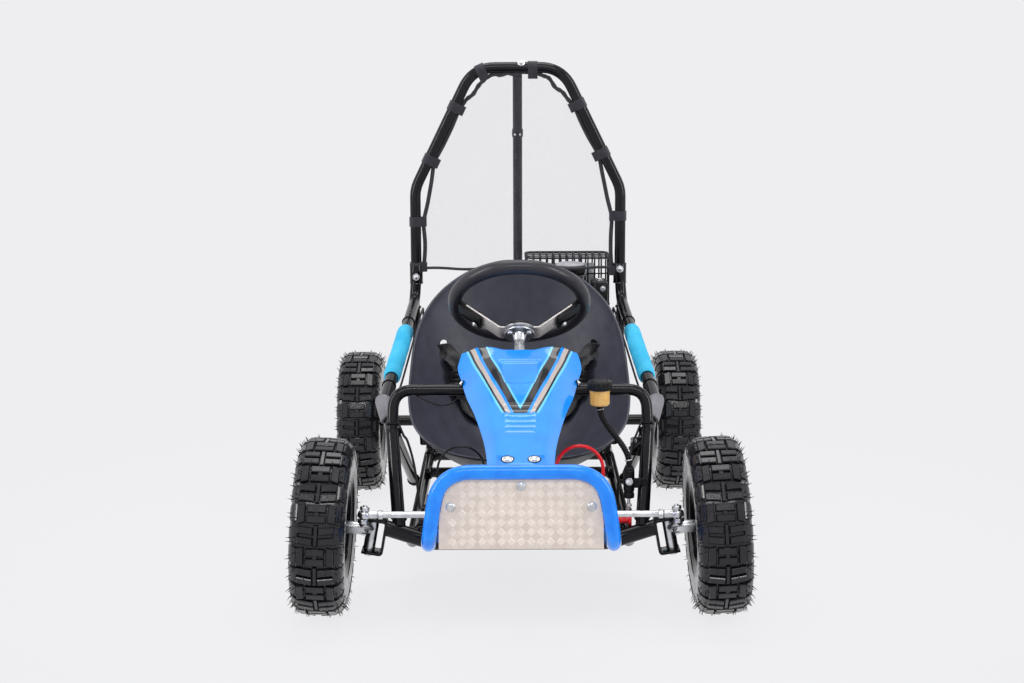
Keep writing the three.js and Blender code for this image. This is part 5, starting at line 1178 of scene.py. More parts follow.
SEAT_WALL = 5.0
SEAT_CENTRE = V(0, 60, 350)
SEAT_FRONT, SEAT_REACH = V(0, -165, 222), V(228, 411, 349)
SEAT_BOTTOM = V(0, 120, 182)
SEAT_SAG = 72
RIM_X = [0, 0.44, 0.755, 0.935, 1, 1, 0.965, 0.868, 0.7, 0.46, 0.2, 0]
RIM_Y = [0, 0.017, 0.072, 0.176, 0.337, 0.518, 0.675, 0.795, 0.892, 0.964, 0.995, 1]
RIM_Z = [0, 0.011, 0.06, 0.148, 0.256, 0.399, 0.578, 0.729, 0.849, 0.943, 0.994, 1]


def seat_rim_raw():
    low, size = SEAT_FRONT, SEAT_REACH
    half = [V(size.x * x, low.y + size.y * y, low.z + size.z * z) for x, y, z in zip(RIM_X, RIM_Y, RIM_Z)]
    return half + [flip(p) for p in reversed(half[1:-1])]


def seat_point(rim, share):
    """A point of the seat's inner skin, from its rim (0) to its bottom (1)."""
    tilt = math.atan2(SEAT_REACH.z, SEAT_REACH.y)
    sag = SEAT_SAG * 4 * share * (1 - share)
    point = rim.lerp(SEAT_BOTTOM, share)
    return point + V(0, sag * sin(tilt), -sag * cos(tilt))


def away(point, distance):
    return point + (point - SEAT_CENTRE).normalized() * distance


def closed_line(points, steps):
    """A smooth closed curve through the points."""
    count, line = len(points), []
    for i in range(count):
        a, b, c, d = (points[(i + k) % count] for k in (-1, 0, 1, 2))
        line += [curve(a, b, c, d, k / steps) for k in range(steps)]
    return line


def seat_form():
    rim = closed_line(seat_rim_raw(), 6)
    shares = [i / 30 * 0.97 for i in range(31)]
    inner = [[seat_point(p, s) for p in rim] for s in shares]
    outer = [[away(seat_point(p, s), SEAT_WALL) for p in rim] for s in shares]
    lip = []
    for turn in arc(0, pi, 6)[1:-1]:
        ring = []
        for i, o in zip(inner[0], outer[0]):
            middle, half = (i + o) / 2, (o - i) / 2
            ring.append(middle - half * cos(turn) + V(0, -0.62, 0.78) * (2.6 * sin(turn)))
        lip.append(ring)
    rings = list(reversed(inner)) + lip + outer
    return Form().skin(rings)


def cut_slots(seat):
    """Opens the two harness slots through the shoulders, as moulded holes."""
    cutter = Form()
    for side in SIDES:
        outline = rounded_rect(side * 166 - 7, 367, 14, 40, 6.9, 8)
        cutter.plate(outline, -60, 300, "xz")
    tool = add_object("slot_cutter", mesh_of("slot_cutter", cutter, 0, 30, "seat"))
    cut = seat.modifiers.new("slots", "BOOLEAN")
    cut.object = tool
    cut.solver = "EXACT"
    graph = bpy.context.evaluated_depsgraph_get()
    mesh = bpy.data.meshes.new_from_object(seat.evaluated_get(graph))
    seat.modifiers.clear()
    seat.data = mesh
    mesh.shade_smooth()
    mesh.set_sharp_from_angle(angle=radians(50))
    bpy.data.objects.remove(tool)


def buckle_place():
    """The middle of the seat's pan, and the way up its back."""
    front, rear = seat_point(seat_rim_raw()[0], 0.72), seat_point(seat_rim_raw()[11], 0.72)
    return front.lerp(rear, 0.5), (rear - front).normalized()


BELT_ROUTE = (
    (168, 379, -16), (165, 378, 10), (158, 362, 20), (152, 338, 15), (144, 312, 9), (134, 286, 11),
    (117, 258, 8), (92, 236, 7), (62, 222, 7),
)
BELT_HALF, BELT_THICK = 21, 2.2


def bowl_at(spots, x, z):
    """The seat's inner skin behind a place seen from the front."""
    return min(spots, key=lambda p: (p.x - x) ** 2 + (p.z - z) ** 2)


def belt_line():
    rim = closed_line(seat_rim_raw(), 6)
    spots = [p for p in (seat_point(r, k / 90) for r in rim for k in range(1, 88)) if p.y > 40]
    middle, _ = buckle_place()
    points = [away(bowl_at(spots, x, z), -lift) for x, z, lift in BELT_ROUTE]
    return smooth_line(points + [away(middle + V(26, 0, 3), -6), away(middle, -5)], 9)


def belt_axes(line, i):
    """The directions along the strap, across it and out of the seat's skin, at one of its points."""
    along = tangent(line, i)
    side = along.cross((SEAT_CENTRE - line[i]).normalized()).normalized()
    return along, side, side.cross(along).normalized()


def belt_form():
    """A limp strap: it leaves its slot on edge, turns flat, and lies in soft folds."""
    line, rings, count = belt_line(), [], 16
    for i, p in enumerate(line):
        t = i / (len(line) - 1)
        _, side, top = belt_axes(line, i)
        loose = smooth_step(0.06, 0.2, t) * (1 - 0.8 * smooth_step(0.72, 0.95, t))
        wide = BELT_HALF - 5.5 * loose * (0.5 + 0.5 * sin(i * 0.29))
        upper, lower = [], []
        for k in range(count + 1):
            u = 2 * k / count - 1
            fold = 3.4 * loose * sin(4.2 * u + 1.9 * sin(i * 0.21))
            fold += 2.6 * loose * abs(u) * sin(i * 0.37 + 2 * u)
            spot = p + side * (u * wide) + top * fold
            upper.append(spot + top * (BELT_THICK / 2))
            lower.append(spot - top * (BELT_THICK / 2))
        rings.append(upper + lower[::-1])
    return Form().skin(rings).both()


def slider_form():
    """The two flat plastic adjusters on each strap."""
    line, form = belt_line(), Form()
    for at in (31, 44):
        along, side, top = belt_axes(line, at)
        matrix = Matrix.Translation(line[at] + top * 3.2) @ basis(side, along, top)
        holes = [rounded_rect(-18, y, 36, 5, 2) for y in (-8, 3)]
        form.placed(Form().plate(rounded_rect(-24, -12, 48, 24, 5), -1.5, 3.6, "xy", holes), matrix)
    return form.both()


def add_seat():
    seat = piece("seat_shell", seat_form(), "frame", "seat_plastic", "seat", ("seat",), smooth=60)
    cut_slots(seat)
    piece("harness_belts", belt_form(), "frame", "webbing", "belt", ("seat_belt",), smooth=60)
    piece("harness_sliders", slider_form(), "frame", "webbing", "plastic", bevel=0.5)
    middle, up = buckle_place()
    face = (SEAT_CENTRE - middle).normalized()
    across = up.cross(face).normalized()
    matrix = Matrix.Translation(away(middle, -8)) @ basis(across, up, face)
    case = Form().plate(rounded_rect(-23, -31, 46, 62, 9), -7, 13, "xy")
    piece("harness_buckle", Form().placed(case, matrix), "frame", "webbing", "plastic", bevel=2.0)
    button = Form().plate(rounded_rect(-12, -8, 24, 16, 4), 5.4, 3.0, "xy")
    piece("buckle_button", Form().placed(button, matrix), "frame", "webbing", "red", bevel=0.8)


# Fairing and side guards

STATIONS = [0, 0.06, 0.14, 0.3, 0.5, 0.75, 1]
HALF_WIDTHS = [113, 120, 113, 101, 83, 65, 57]
DROPS = [10, 27, 34, 34, 26, 22, 14]


def spine(share):
    return V(0, -240 - 400 * share, 465 - 134 * share)


def along_table(table, share):
    """A smooth reading between the stations' values."""
    for i in range(len(STATIONS) - 1):
        if share <= STATIONS[i + 1]:
            break
    t = (share - STATIONS[i]) / (STATIONS[i + 1] - STATIONS[i])
    x0, x1 = STATIONS[i], STATIONS[i + 1]
    p0, p1 = table[i], table[i + 1]
    m0 = (p1 - table[i - 1]) / (x1 - STATIONS[i - 1]) if i else (p1 - p0) / (x1 - x0)
    m1 = (table[i + 2] - p0) / (STATIONS[i + 2] - x0) if i + 2 < len(table) else (p1 - p0) / (x1 - x0)
    h = x1 - x0
    return (
        (2 * t**3 - 3 * t**2 + 1) * p0 + (t**3 - 2 * t**2 + t) * h * m0
        + (-2 * t**3 + 3 * t**2) * p1 + (t**3 - t**2) * h * m1
    )


def smooth_step(low, high, x):
    t = max(0.0, min(1.0, (x - low) / (high - low)))
    return t * t * (3 - 2 * t)


def band(low, full, done, high, x):
    """Rises from low to full and falls again from done to high."""
    return smooth_step(low, full, x) * (1 - smooth_step(done, high, x))


def fairing_relief(share, side):
    """The moulded shapes of the skin: ridges, shoulders, the dip between them, a recess and cross ribs."""
    ridge = 2.4 * math.exp(-(((side - 0.36) / 0.1) ** 2)) * band(0.06, 0.2, 0.55, 0.72, share)
    shoulders = 4.5 * (1 - smooth_step(0.0, 0.1, share)) * band(0.25, 0.6, 0.7, 0.95, side)
    dip = -2.5 * (1 - smooth_step(0.0, 0.16, share)) * (1 - smooth_step(0.2, 0.5, side))
    taper = 0.25 * (0.33 - share)
    recess = -4.0 * band(0.10, 0.13, 0.30, 0.33, share) * (1 - smooth_step(0.27 + taper, 0.33 + taper, side))
    ribs = 0.0
    if 0.50 < share < 0.758:
        wave = smooth_step(0.0, 0.5, 0.5 + 0.5 * sin(2 * pi * (share - 0.50) / 0.043))
        ribs = 0.55 * wave * (1 - smooth_step(0.38, 0.46, side))
    return ridge + shoulders + dip + recess + ribs


def fairing_surface(share, across, sink):
    """A point of the skin; across runs from -1 to 1, sink is the depth under the outer face."""
    half, drop = along_table(HALF_WIDTHS, share), along_table(DROPS, share)
    side = abs(across)
    x = (half - sink * side**2) * across
    fall = drop * (0.10 * smooth_step(0.3, 0.62, side) + 0.9 * max(0.0, (side - 0.62) / 0.38) ** 1.7)
    z = spine(share).z - fall - sink
    return V(x, spine(share).y, z + fairing_relief(share, side) - 1.2)


def fairing_form():
    count, wide, thick = 150, 64, 3.0
    rings = []
    for i in range(count + 1):
        share = i / count
        thin = 0.0 if min(i, count - i) else 0.7
        outer = [fairing_surface(share, 2 * k / wide - 1, thin) for k in range(wide + 1)]
        inner = [fairing_surface(share, 1 - 2 * k / wide, thick - thin) for k in range(wide + 1)]
        for p in inner:
            p.x *= 0.982
        rings.append(outer + inner)
    return Form().skin(rings)


def fairing_fittings():
    """The bolts at the fairing's foot and flanks, and the rubber washers under them."""
    bolts, washers = Form(), Form()
    for across in (-0.4, 0.4):
        spot, up = fairing_surface(0.955, across, 0), V(0, -0.32, 0.95)
        bolts.bolt(spot + V(0, 0, -0.4), up, 7.6, 5.6, "dome")
        washers.ring(spot + V(0, 0, -0.1), up, 10.6, 1.4, 40, 10)
    for side in SIDES:
        edge, out = fairing_surface(0.17, side * 0.99, 0), V(side, 0, 0.15)
        bolts.bolt(edge + V(side * 1.5, 0, -1.0), out, 5.0, 5.0, "dome")
        washers.disc(edge + V(side * -0.6, 0, -1.0), out, 7.4, 2.0)
    return bolts, washers


GUARD_SPREAD = ((0, 28), (0.05, 66), (0.14, 90), (0.5, 76), (0.85, 56), (0.96, 40), (1, 14))


def guard_form(side):
    """A moulded light grey cover on the outer upper side of the tube's bend, broad at its top, narrow at its
    foot. Its pale grey also stands for the bright reflection on the black tube's bend: partly a real cover,
    partly painted reflection.
    """
    top, foot = ELBOW.lerp(LEG_FOOT, 0.03), ELBOW.lerp(LEG_FOOT, 0.715)
    way = (foot - top).normalized()
    out = V(0.86, 0, 0.5)
    out = (out - way * out.dot(way)).normalized()
    across = way.cross(out)
    rings = []
    for i in range(37):
        t = i / 36
        for (t0, s0), (t1, s1) in zip(GUARD_SPREAD, GUARD_SPREAD[1:]):
            if t0 <= t <= t1:
                spread = radians(s0 + (s1 - s0) * smooth_step(t0, t1, t))
        lift = 17.6 + 2.4 * (1 - t)
        centre = top.lerp(foot, t)
        outer, inner = [], []
        for k in range(17):
            share = 2 * k / 16 - 1
            way_out = out * cos(spread * share) + across * sin(spread * share)
            outer.append(centre + way_out * (lift - 2.2 * abs(share) ** 3))
            inner.append(centre + way_out * 13.2)
        rings.append(outer + inner[::-1])
    form = Form().skin(rings)
    return form.on_side(side)


def add_fairing():
    skin = fairing_form()
    piece("fairing_skin", skin, "frame", "fairing_plastic", "fairing", ("front_fairing",), smooth=42)
    bolts, washers = fairing_fittings()
    piece("fairing_bolts", bolts, "frame", "zinc", "zinc")
    piece("fairing_washers", washers, "frame", "rubber", "rubber")
    for side, hand in HANDS:
        name = f"side_guard_{hand}"
        # The guard's light grey is partly painted reflection of the black tube's bend.
        piece(name + "_cover_with_painted_reflection", guard_form(side), "frame", "grey_plastic", "grey", (name,))


# Steering

COLUMN = Matrix.Translation((0, -143, 539)) @ Matrix.Rotation(radians(-40.7), 4, "X")
TIE_Y, TIE_Z = -500, 202
TIE_COLUMN = COLUMN.inverted() @ V(0, TIE_Y, TIE_Z)
TIE_EYE = V(287, TIE_Y, TIE_Z)
GRIP_RADIUS, GRIP_THICK = 129, 14.0
HUB_TOP = -71.3


def on_column(form):
    """A form drawn in the column's own axes, carried to its place."""
    return Form().placed(form, COLUMN)


def wheel_rim_form():
    """The padded rim: a torus with a moulded parting line."""
    rings = []
    for turn in turns(120):
        out = V(cos(turn), sin(turn), 0)
        ring = []
        for t in turns(28):
            radius = GRIP_THICK - 0.5 * math.exp(-((sin(t / 2) / 0.09) ** 2))
            ring.append(out * (GRIP_RADIUS + radius * cos(t)) + V(0, 0, radius * sin(t)))
        rings.append(ring)
    return on_column(Form().skin(rings, endless=True))


def pad_form():
    """The slanted clamps between the arms and the rim, with their raised edges."""
    form = Form()
    for side in SIDES:
        outline = [(76, -47.6), (79, -47.2), (122, -14.4), (122, 3.0), (117, -1.0), (76, -33.0)]
        form.plate([(side * x, z) for x, z in outline], -17, 34, "xz")
        edge = [(78, -49.4), (81, -48.8), (116, -22.2), (116, -19.2), (78, -47.4)]
        for y in (-17.4, 14.4):
            form.plate([(side * x, z) for x, z in edge], y, 3.0, "xz")
        form.plate([(side * x, z) for x, z in ((75, -49.4), (79, -49), (79, -31), (75, -32))], -18, 36, "xz")
    return on_column(form)


def spoke_form():
    """The V-shaped spoke plate, widest at the hub."""
    path = rounded([V(-104, 0, -16), V(-38, 0, -68), V(38, 0, -68), V(104, 0, -16)], 9)
    rings = []
    for i, p in enumerate(path):
        down = tangent(path, i).cross(V(0, -1, 0)).normalized()
        low = p + (-down if down.z > 0 else down) * 3
        wide = V(0, 19.0 + 4.0 * math.exp(-((p.x / 34) ** 2)), 0)
        rings.append([p - wide, p + wide, low + wide, low - wide])
    return on_column(Form().skin(rings))


def hub_cap():
    """The black cap on the driver's side of the hub."""
    profile = [(0, 0.5), (0, 33), (4.5, 33), (7.5, 31.6), (9.5, 28), (10.6, 20), (11, 0.5)]
    return on_column(Form().turned(profile, (0, 0, -67.7), (0, 0, 1), 56))


def hub_disc():
    return on_column(Form().disc((0, 0, -71), (0, 0, 1), 35, 3.2, 64, 0.6))


def shaft_form():
    """The column with its flange at the top and the arm for the tie rods at its foot."""
    form = Form()
    top, foot = HUB_TOP, TIE_COLUMN.z - 22.3
    form.tube([V(0, 0, foot), V(0, 0, top - 1)], 10, 0, 28)
    form.disc((0, 0, top - 5), (0, 0, 1), 30, 5, 48)
    form.turned([(0, 9.9), (0, 14.5), (3, 13), (14, 10.4), (14, 9.9)], (0, 0, top - 5), (0, 0, -1), 32)
    weld(form, (0, 0, top - 5.5), (0, 0, 1), 11.5, 2.0)
    y, low = TIE_COLUMN.y, TIE_COLUMN.z - 2
    form.disc((0, 0, low - 2), (0, 0, 1), 16, 12, 36)
    half = [(15, 0), (24, y - 2), (21, y - 8), (16, y - 9)]
    form.plate([(-x, reach) for x, reach in half] + half[::-1], low, 4, "xy")
    return on_column(form)


def steering_bolts():
    form = Form()
    for turn in turns(3):
        spot = V(21.5 * cos(pi / 2 + turn), 21.5 * sin(pi / 2 + turn), -76.4)
        form.bolt(spot, (0, 0, -1), 5.2, 5.0, "dome")
        form.bolt(spot + V(0, 0, 8.6), (0, 0, 1), 5.2, 5.0)
    for side in SIDES:
        form.bolt((side * 89, 12, -43.2), (side * 0.618, 0, -0.786), 4.6, 4.6, "dome")
    return on_column(form)


def pin_axis():
    """The way of the pin through the tie rod's eye, leaning with the king pin."""
    return V(-sin(KINGPIN_LEAN), sin(radians(4.13)), cos(KINGPIN_LEAN)).normalized()


def rod_fork():
    """The open fork at a rod's inner end, in the column's own axes."""
    head, y, z = Form(), TIE_COLUMN.y, TIE_COLUMN.z
    head.plate([(y - 8, z - 14), (y + 8, z - 14), (y + 8, z + 14), (y - 8, z + 14)], 30, 5, "yz")
    for low in (z - 14, z + 10):
        tip = [(5 + 8 - 8 * cos(t), y + 8 * sin(t)) for t in arc(pi / 2, -pi, 12)]
        head.plate([(30, y - 8), (30, y + 8)] + tip, low, 4, "xy")
    return head


def tie_rod(side):
    form = Form().placed(rod_fork(), COLUMN)
    form.tube([V(31, TIE_Y, TIE_Z), V(279, TIE_Y, TIE_Z)], 6, 0, 24)
    for x in (44, 252):
        form.hexagon((x, TIE_Y, TIE_Z), (1, 0, 0), 8.6, 9)
    form.tube([V(262, TIE_Y, TIE_Z), V(280, TIE_Y, TIE_Z)], 7.2, 0, 20)
    profile = [(-6.4, 7.2), (-5.4, 9.9), (-3, 11.2), (3, 11.2), (5.4, 9.9), (6.4, 7.2)]
    form.turned(profile, TIE_EYE, pin_axis(), 32)
    ball = [(-8.0, 4.3), (-8.0, 5.6), (-5, 7.0), (0, 7.6), (5, 7.0), (8.0, 5.6), (8.0, 4.3)]
    form.turned(ball, TIE_EYE, pin_axis(), 28)
    return form.on_side(side)


def knuckle(side):
    """King pin tube, gusseted stub axle, and the arm that carries the tie rod's pin."""
    profile = [(-28, 5.4), (-28, 10.4), (-27.4, 11), (27.4, 11), (28, 10.4), (28, 5.4)]
    form = Form().placed(Form().turned(profile, (0, 0, 0), (0, 0, 1), 36), lean_matrix(1))
    out = V(cos(CAMBER), 0, sin(CAMBER))
    wheel = V(FRONT_X, BEAM_Y, FRONT_Z)
    root = wheel + out * (KINGPIN_AT.x - FRONT_X)
    form.tube([root + out * 8, wheel + out * 35], 8, 0, 28)
    form.tube([root + out * 8, wheel - out * 24.3], 12, 0, 28)
    form.hexagon(wheel + out * 24.6, out, 12.5, 8)
    for y in (-456, -447.5):
        form.plate([(288, 148), (318, 158), (318, 170), (287, 178)], y, 3.5, "xz")
    axis = pin_axis()
    form.tube([V(278, -458, 164), V(281, -474, 172), TIE_EYE - axis * 16], 7, 20, 18)
    boss = [(-16, 0.5), (-16, 8.6), (-15, 9.5), (-9, 9.5), (-8.3, 8.8), (-8.3, 0.5)]
    form.turned(boss, TIE_EYE, axis, 32)
    form.tube([TIE_EYE - axis * 12, TIE_EYE + axis * 18], 4, 0, 20)
    form.hexagon(TIE_EYE + axis * 8.4, axis, 8.8, 7)
    weld(form, V(282, -460, 165.5), V(5, -30, 15), 7.6, 2.0)
    return form.on_side(side)


def kingpin(side):
    form = Form()
    form.tube([V(0, 0, -40), V(0, 0, 40)], 5, 0, 20)
    for up in SIDES:
        form.hexagon((0, 0, up * 34.4), (0, 0, up), 8.8, 5.4)
    for low in (28.4, -29.0):
        form.disc((0, 0, low), (0, 0, 1), 10.5, 0.6, 28)
    return Form().placed(form, lean_matrix(side))


def add_steering():
    rim = wheel_rim_form()
    piece("wheel_grip", rim, "steering", "black_plastic", "grip", ("steering_wheel_rim",), smooth=60)
    piece("wheel_clamps", pad_form(), "steering", "black_plastic", "plastic", bevel=1.2)
    piece("wheel_spokes", spoke_form(), "steering", "aluminium", "spoke", ("steering_spokes",), bevel=0.5)
    piece("wheel_hub_disc", hub_disc(), "steering", "aluminium", "zinc")
    piece("wheel_hub_cap", hub_cap(), "steering", "black_plastic", "plastic")
    piece("column_shaft", shaft_form(), "steering", "zinc", "zinc", ("steering_shaft",), bevel=0.4)
    piece("wheel_bolts", steering_bolts(), "steering", "zinc", "zinc")
    for side, hand in HANDS:
        rod, arm, pin = f"tie_rod_{hand}", f"knuckle_{hand}", f"kingpin_{hand}"
        piece(rod + "_link", tie_rod(side), f"{hand}_tie_rod", "zinc", "zinc", (rod,), bevel=0.4)
        piece(arm + "_forging", knuckle(side), f"{hand}_knuckle", "zinc", "zinc", (arm,), bevel=0.3)
        piece(pin + "_bolt", kingpin(side), "frame", "zinc", "zinc", (pin,))


# Pedals and brake


PEDAL_PIVOT = V(111, -436, 172)
PEDAL_HALF = 44
PUSHROD_Y = -405
MASTER_X = 204


def pedal(side, wire, shaft_end):
    """A bent wire loop on its shaft, with the lever at the shaft's end."""
    pivot, rise, half = PEDAL_PIVOT, V(0, 34, 134), PEDAL_HALF
    reach, up = rise.length - half, rise.normalized()
    bow = [pivot + V(half * cos(t), 0, 0) + up * (reach + half * sin(t)) for t in arc(pi, -pi, 32)]
    form = Form().tube([pivot + V(-half, 0, 0), *bow, pivot + V(half, 0, 0)], wire, 0, 16, 0)
    form.tube([V(50, pivot.y, pivot.z), V(shaft_end, pivot.y, pivot.z)], 6, 0, 22)
    for x in (67, 155):
        weld(form, (x, pivot.y, pivot.z), (1, 0, 0), 6.2, 1.8)
    outline = [(pivot.y + 11 * cos(t), pivot.z + 11 * sin(t)) for t in arc(pi / 2, pi, 12)]
    outline += [(PUSHROD_Y + 7.15 * cos(t), pivot.z + 7.15 * sin(t)) for t in arc(-pi / 2, pi, 12)]
    form.plate(outline, shaft_end - 6, 6, "yz")
    return form.on_side(side)


def master_at(z):
    return V(MASTER_X, PUSHROD_Y, z)


def master_form():
    """The ribbed cylinder with its bore from below, its hose stub and its mounting tab."""
    profile = [
        (0, 3.6), (0, 9.6), (1, 10.5), (8, 10.5), (9, 9.4), (13, 9.4), (14, 10.5), (52, 10.5), (53, 9.6),
        (57, 9.6), (58, 8.0), (61, 7.4), (61, 0.5), (24, 0.5), (24, 3.6),
    ]
    form = Form().turned(profile, master_at(207), (0, 0, 1), 40)
    form.tube([master_at(267), master_at(270)], 2.8, 0, 20, 0.3)
    form.plate(rounded_rect(206, 226, 32, 18, 4), -408, 6, "xz")
    return form


def pushrod_form():
    form = Form().tube([master_at(182), master_at(213)], 3, 0, 16)
    form.hexagon(master_at(190), (0, 0, 1), 5.6, 5)
    form.disc(master_at(180.4), (0, 0, 1), 6, 6.6, 24)
    return form


RESERVOIR = V(152, -335.3, 370)


def reservoir_form():
    side = [(0, 16.5), (2.5, 18.6), (5, 19), (24, 19), (25, 19.4), (29.5, 19.4), (30, 18.8)]
    form = Form().turned([(0, 0.5), *side, (30, 0.5)], RESERVOIR, (0, 0, 1), 48)
    form.tube([RESERVOIR + V(0, 0, -2), RESERVOIR + V(0, 0, 0.5)], 2.8, 0, 20, 0.2)
    form.plate(rounded_rect(142.5, -322, 19, 21.5, 3), 378.7, 3, "xy")
    return form


def cap_form():
    """The ribbed filler cap."""
    base = RESERVOIR + V(0, 0, 30.3)
    levels = [(0, 22.4, 0.2), (0.8, 22.9, 1), (14.6, 22.9, 1), (16.2, 22.0, 0.6), (17, 20.5, 0)]
    form = ribbed(base, levels, 160, 20, 0.7, 1.1)
    return form.turned([(16.6, 14.0), (17.0, 14.2), (17.0, 16.2), (16.6, 16.4)], base, (0, 0, 1), 48)


HOSE_STEPS = 60
HOSE_RIBS = 26
HOSE_TOP, HOSE_FOOT = 369.7, 270.3


def hose_line(steps=HOSE_STEPS):
    """The hose's line from the reservoir down to the master cylinder, a smooth curve with upright ends."""
    start, end = V(RESERVOIR.x, RESERVOIR.y, HOSE_TOP), master_at(HOSE_FOOT)
    drop = 0.45 * (start.z - end.z)
    a, b = start - V(0, 0, drop), end + V(0, 0, drop)
    line = []
    for i in range(steps + 1):
        t = i / steps
        near, far = 3 * t * (1 - t) ** 2, 3 * t * t * (1 - t)
        line.append(start * (1 - t) ** 3 + a * near + b * far + end * t**3)
    return line


def hose_form():
    count = 4 * HOSE_STEPS
    line, rings = hose_line(count), []
    for i, (p, (a, b)) in enumerate(zip(line, frames(line))):
        rings.append(circle(p, a, b, 5.4 + 0.6 * sin(2 * pi * HOSE_RIBS * i / count), 24))
    bore = hose_line()
    for p, (a, b) in reversed(list(zip(bore, frames(bore)))):
        rings.append(circle(p, a, b, 3.4, 24))
    return Form().skin(rings, endless=True)


BRAKE_ROUTE = [
    (193.2, -405, 240), (184, -405, 240), (184, -388, 180), (198, -372, 142), (213, -350, 131.4),
    (213, 246, 131.4), (206, 264, 134.6), (188, 285, 133), (-128, 285, 132.6), (-140, 287, 152),
    (-140, 325, 215), (-140, 352, 243), (-140, 382, 246), (-140, 382, 224.4),
]
CABLE_ROUTE = [
    (-187, -395, 176), (-187, -380, 160), (-200, -362, 138), (-213, -340, 131.2), (-213, 256, 131.2),
    (-206, 275, 134.2), (-188, 296, 132.8), (150, 296, 132.2), (172, 306, 155), (186, 322, 230),
    (190, 346, 330), (190, 376, 392), (190, 404.3, 402),
]


def path_length(path):
    return sum((b - a).length for a, b in zip(path, path[1:]))


def add_cable(name, path, radius, sides, nodes=()):
    """A thin cable lying along its line."""
    cable = piece(name, Form().tube(path, radius, 0, sides, 0.2), "frame", "black_plastic", "plastic", nodes)


def hose_clips():
    clips, line = Form(), hose_line()
    for i in (4, HOSE_STEPS - 4):
        clips.ring(line[i], (line[i + 1] - line[i - 1]).normalized(), 6.6, 1.1, 36, 8)
    return clips


def add_controls():
    black = ("frame", "black_plastic", "plastic")
    loop = pedal(1, 3.3, 207)
    piece("brake_pedal_loop", loop, "brake", "paint_red", "red", ("brake_pedal",), bevel=0.3, smooth=40)
    loop = pedal(-1, 2.2, 190)
    piece("throttle_pedal_loop", loop, "throttle", "paint_black", "black", ("throttle_pedal",), smooth=40)
    piece("master_body", master_form(), *black, ("master_cylinder",), bevel=0.4)
    bolts = Form()
    for x in (222, 232):
        bolts.bolt((x, -408.2, 235), (0, -1, 0), 4.2, 4.5)
    piece("master_bolts", bolts, *black)
    piece("pushrod", pushrod_form(), "pushrod", "zinc", "zinc", ("master_pushrod",))
    tank = reservoir_form()
    piece("reservoir_tank", tank, "frame", "amber_plastic", "amber", ("fluid_reservoir",), bevel=0.4)
    piece("reservoir_lid", cap_form(), "brake_cap", "black_plastic", "plastic", ("reservoir_cap",))
    tube = hose_form()
    hose = piece("reservoir_ribbed_hose", tube, "frame", "rubber", "rubber", ("reservoir_hose",), smooth=70)
    rings = piece("hose_clips", hose_clips(), "frame", "zinc", "zinc")
    add_cable("brake_pipe", rounded(BRAKE_ROUTE, 14), 2.5, 14, ("brake_line",))
    add_cable("throttle_bowden", rounded(CABLE_ROUTE, 14), 2.0, 14, ("throttle_cable",))


# Rear axle and drive


CRANK = V(0, 430, 290)
SPROCKET_RADIUS, DRUM_RADIUS = 77.6, 20
CHAIN_X = 30
CHAIN_PITCH = 12.7
ROLLER_HALF, ROLLER_RADIUS = 3.6, 2.5
LINK_ROUND, LINK_WAIST, LINK_THICK = 3.1, 2.2, 0.8


def axle_at(x):
    return V(x, AXLE_Y, AXLE_Z)


def axle_form():
    form = Form().tube([axle_at(-393), axle_at(393)], 12.5, 0, 32)
    for side in SIDES:
        form.disc(axle_at(side * 384.4), (side, 0, 0), 19, 1.6, 32, 0.4)
        form.hexagon(axle_at(side * 386), (side, 0, 0), 17, 7.2)
    return form


def bearing_form(side):
    form = Form()
    profile = [
        (-6, 12.9), (-6, 22.4), (3.4, 22.8), (3.4, 31), (4.4, 32), (8, 32), (9.4, 30), (11, 24), (12.3, 22),
        (12.3, 12.9),
    ]
    form.turned(profile, axle_at(side * RAIL_X), (side, 0, 0), 44)
    form.tube([V(side * 214, AXLE_Y, 186), V(side * 214, AXLE_Y, 194)], 2.6, 0, 12)
    return form


def toothed(y, z, radius, teeth):
    """A sprocket's outline, with its tooth tips on the radius."""
    flank = [(0.08, -1.0), (0.18, -4.2), (0.32, -4.6)]
    tooth = [(-at, depth) for at, depth in reversed(flank)] + [(0.0, 0.0)] + flank
    outline = []
    for i in range(teeth):
        for at, depth in tooth:
            turn, reach = 2 * pi * (i + 0.5 + at) / teeth, radius + depth
            outline.append((y + reach * cos(turn), z + reach * sin(turn)))
    return outline


def axle_hole(reach, turn, radius, sides):
    """A hole at a distance from the axle's middle."""
    return circle_points(AXLE_Y + reach * cos(turn), AXLE_Z + reach * sin(turn), radius, sides)


def sprocket_form():
    holes = [axle_hole(51, 2 * pi * k / 6 + 0.3, 12.5, 28) for k in range(6)]
    holes.append(axle_hole(0, 0, 13, 32))
    form = Form().plate(toothed(AXLE_Y, AXLE_Z, SPROCKET_RADIUS, 36), 28.4, 3.2, "yz", holes)
    return form.turned(hub_profile(12.9, 24, 13), axle_at(CHAIN_X), (1, 0, 0), 40)


def brake_disc_form():
    holes = [axle_hole(0, 0, 13, 32)]
    holes += [axle_hole(52, t, 10.5, 24) for t in turns(5)]
    holes += [axle_hole(70 if k % 2 else 75, t, 1.7, 8) for k, t in enumerate(turns(30))]
    form = Form().plate(axle_hole(0, 0, 79.6, 96), -142, 4, "yz", holes)
    return form.turned(hub_profile(12.9, 24, 13), axle_at(-140), (1, 0, 0), 40)


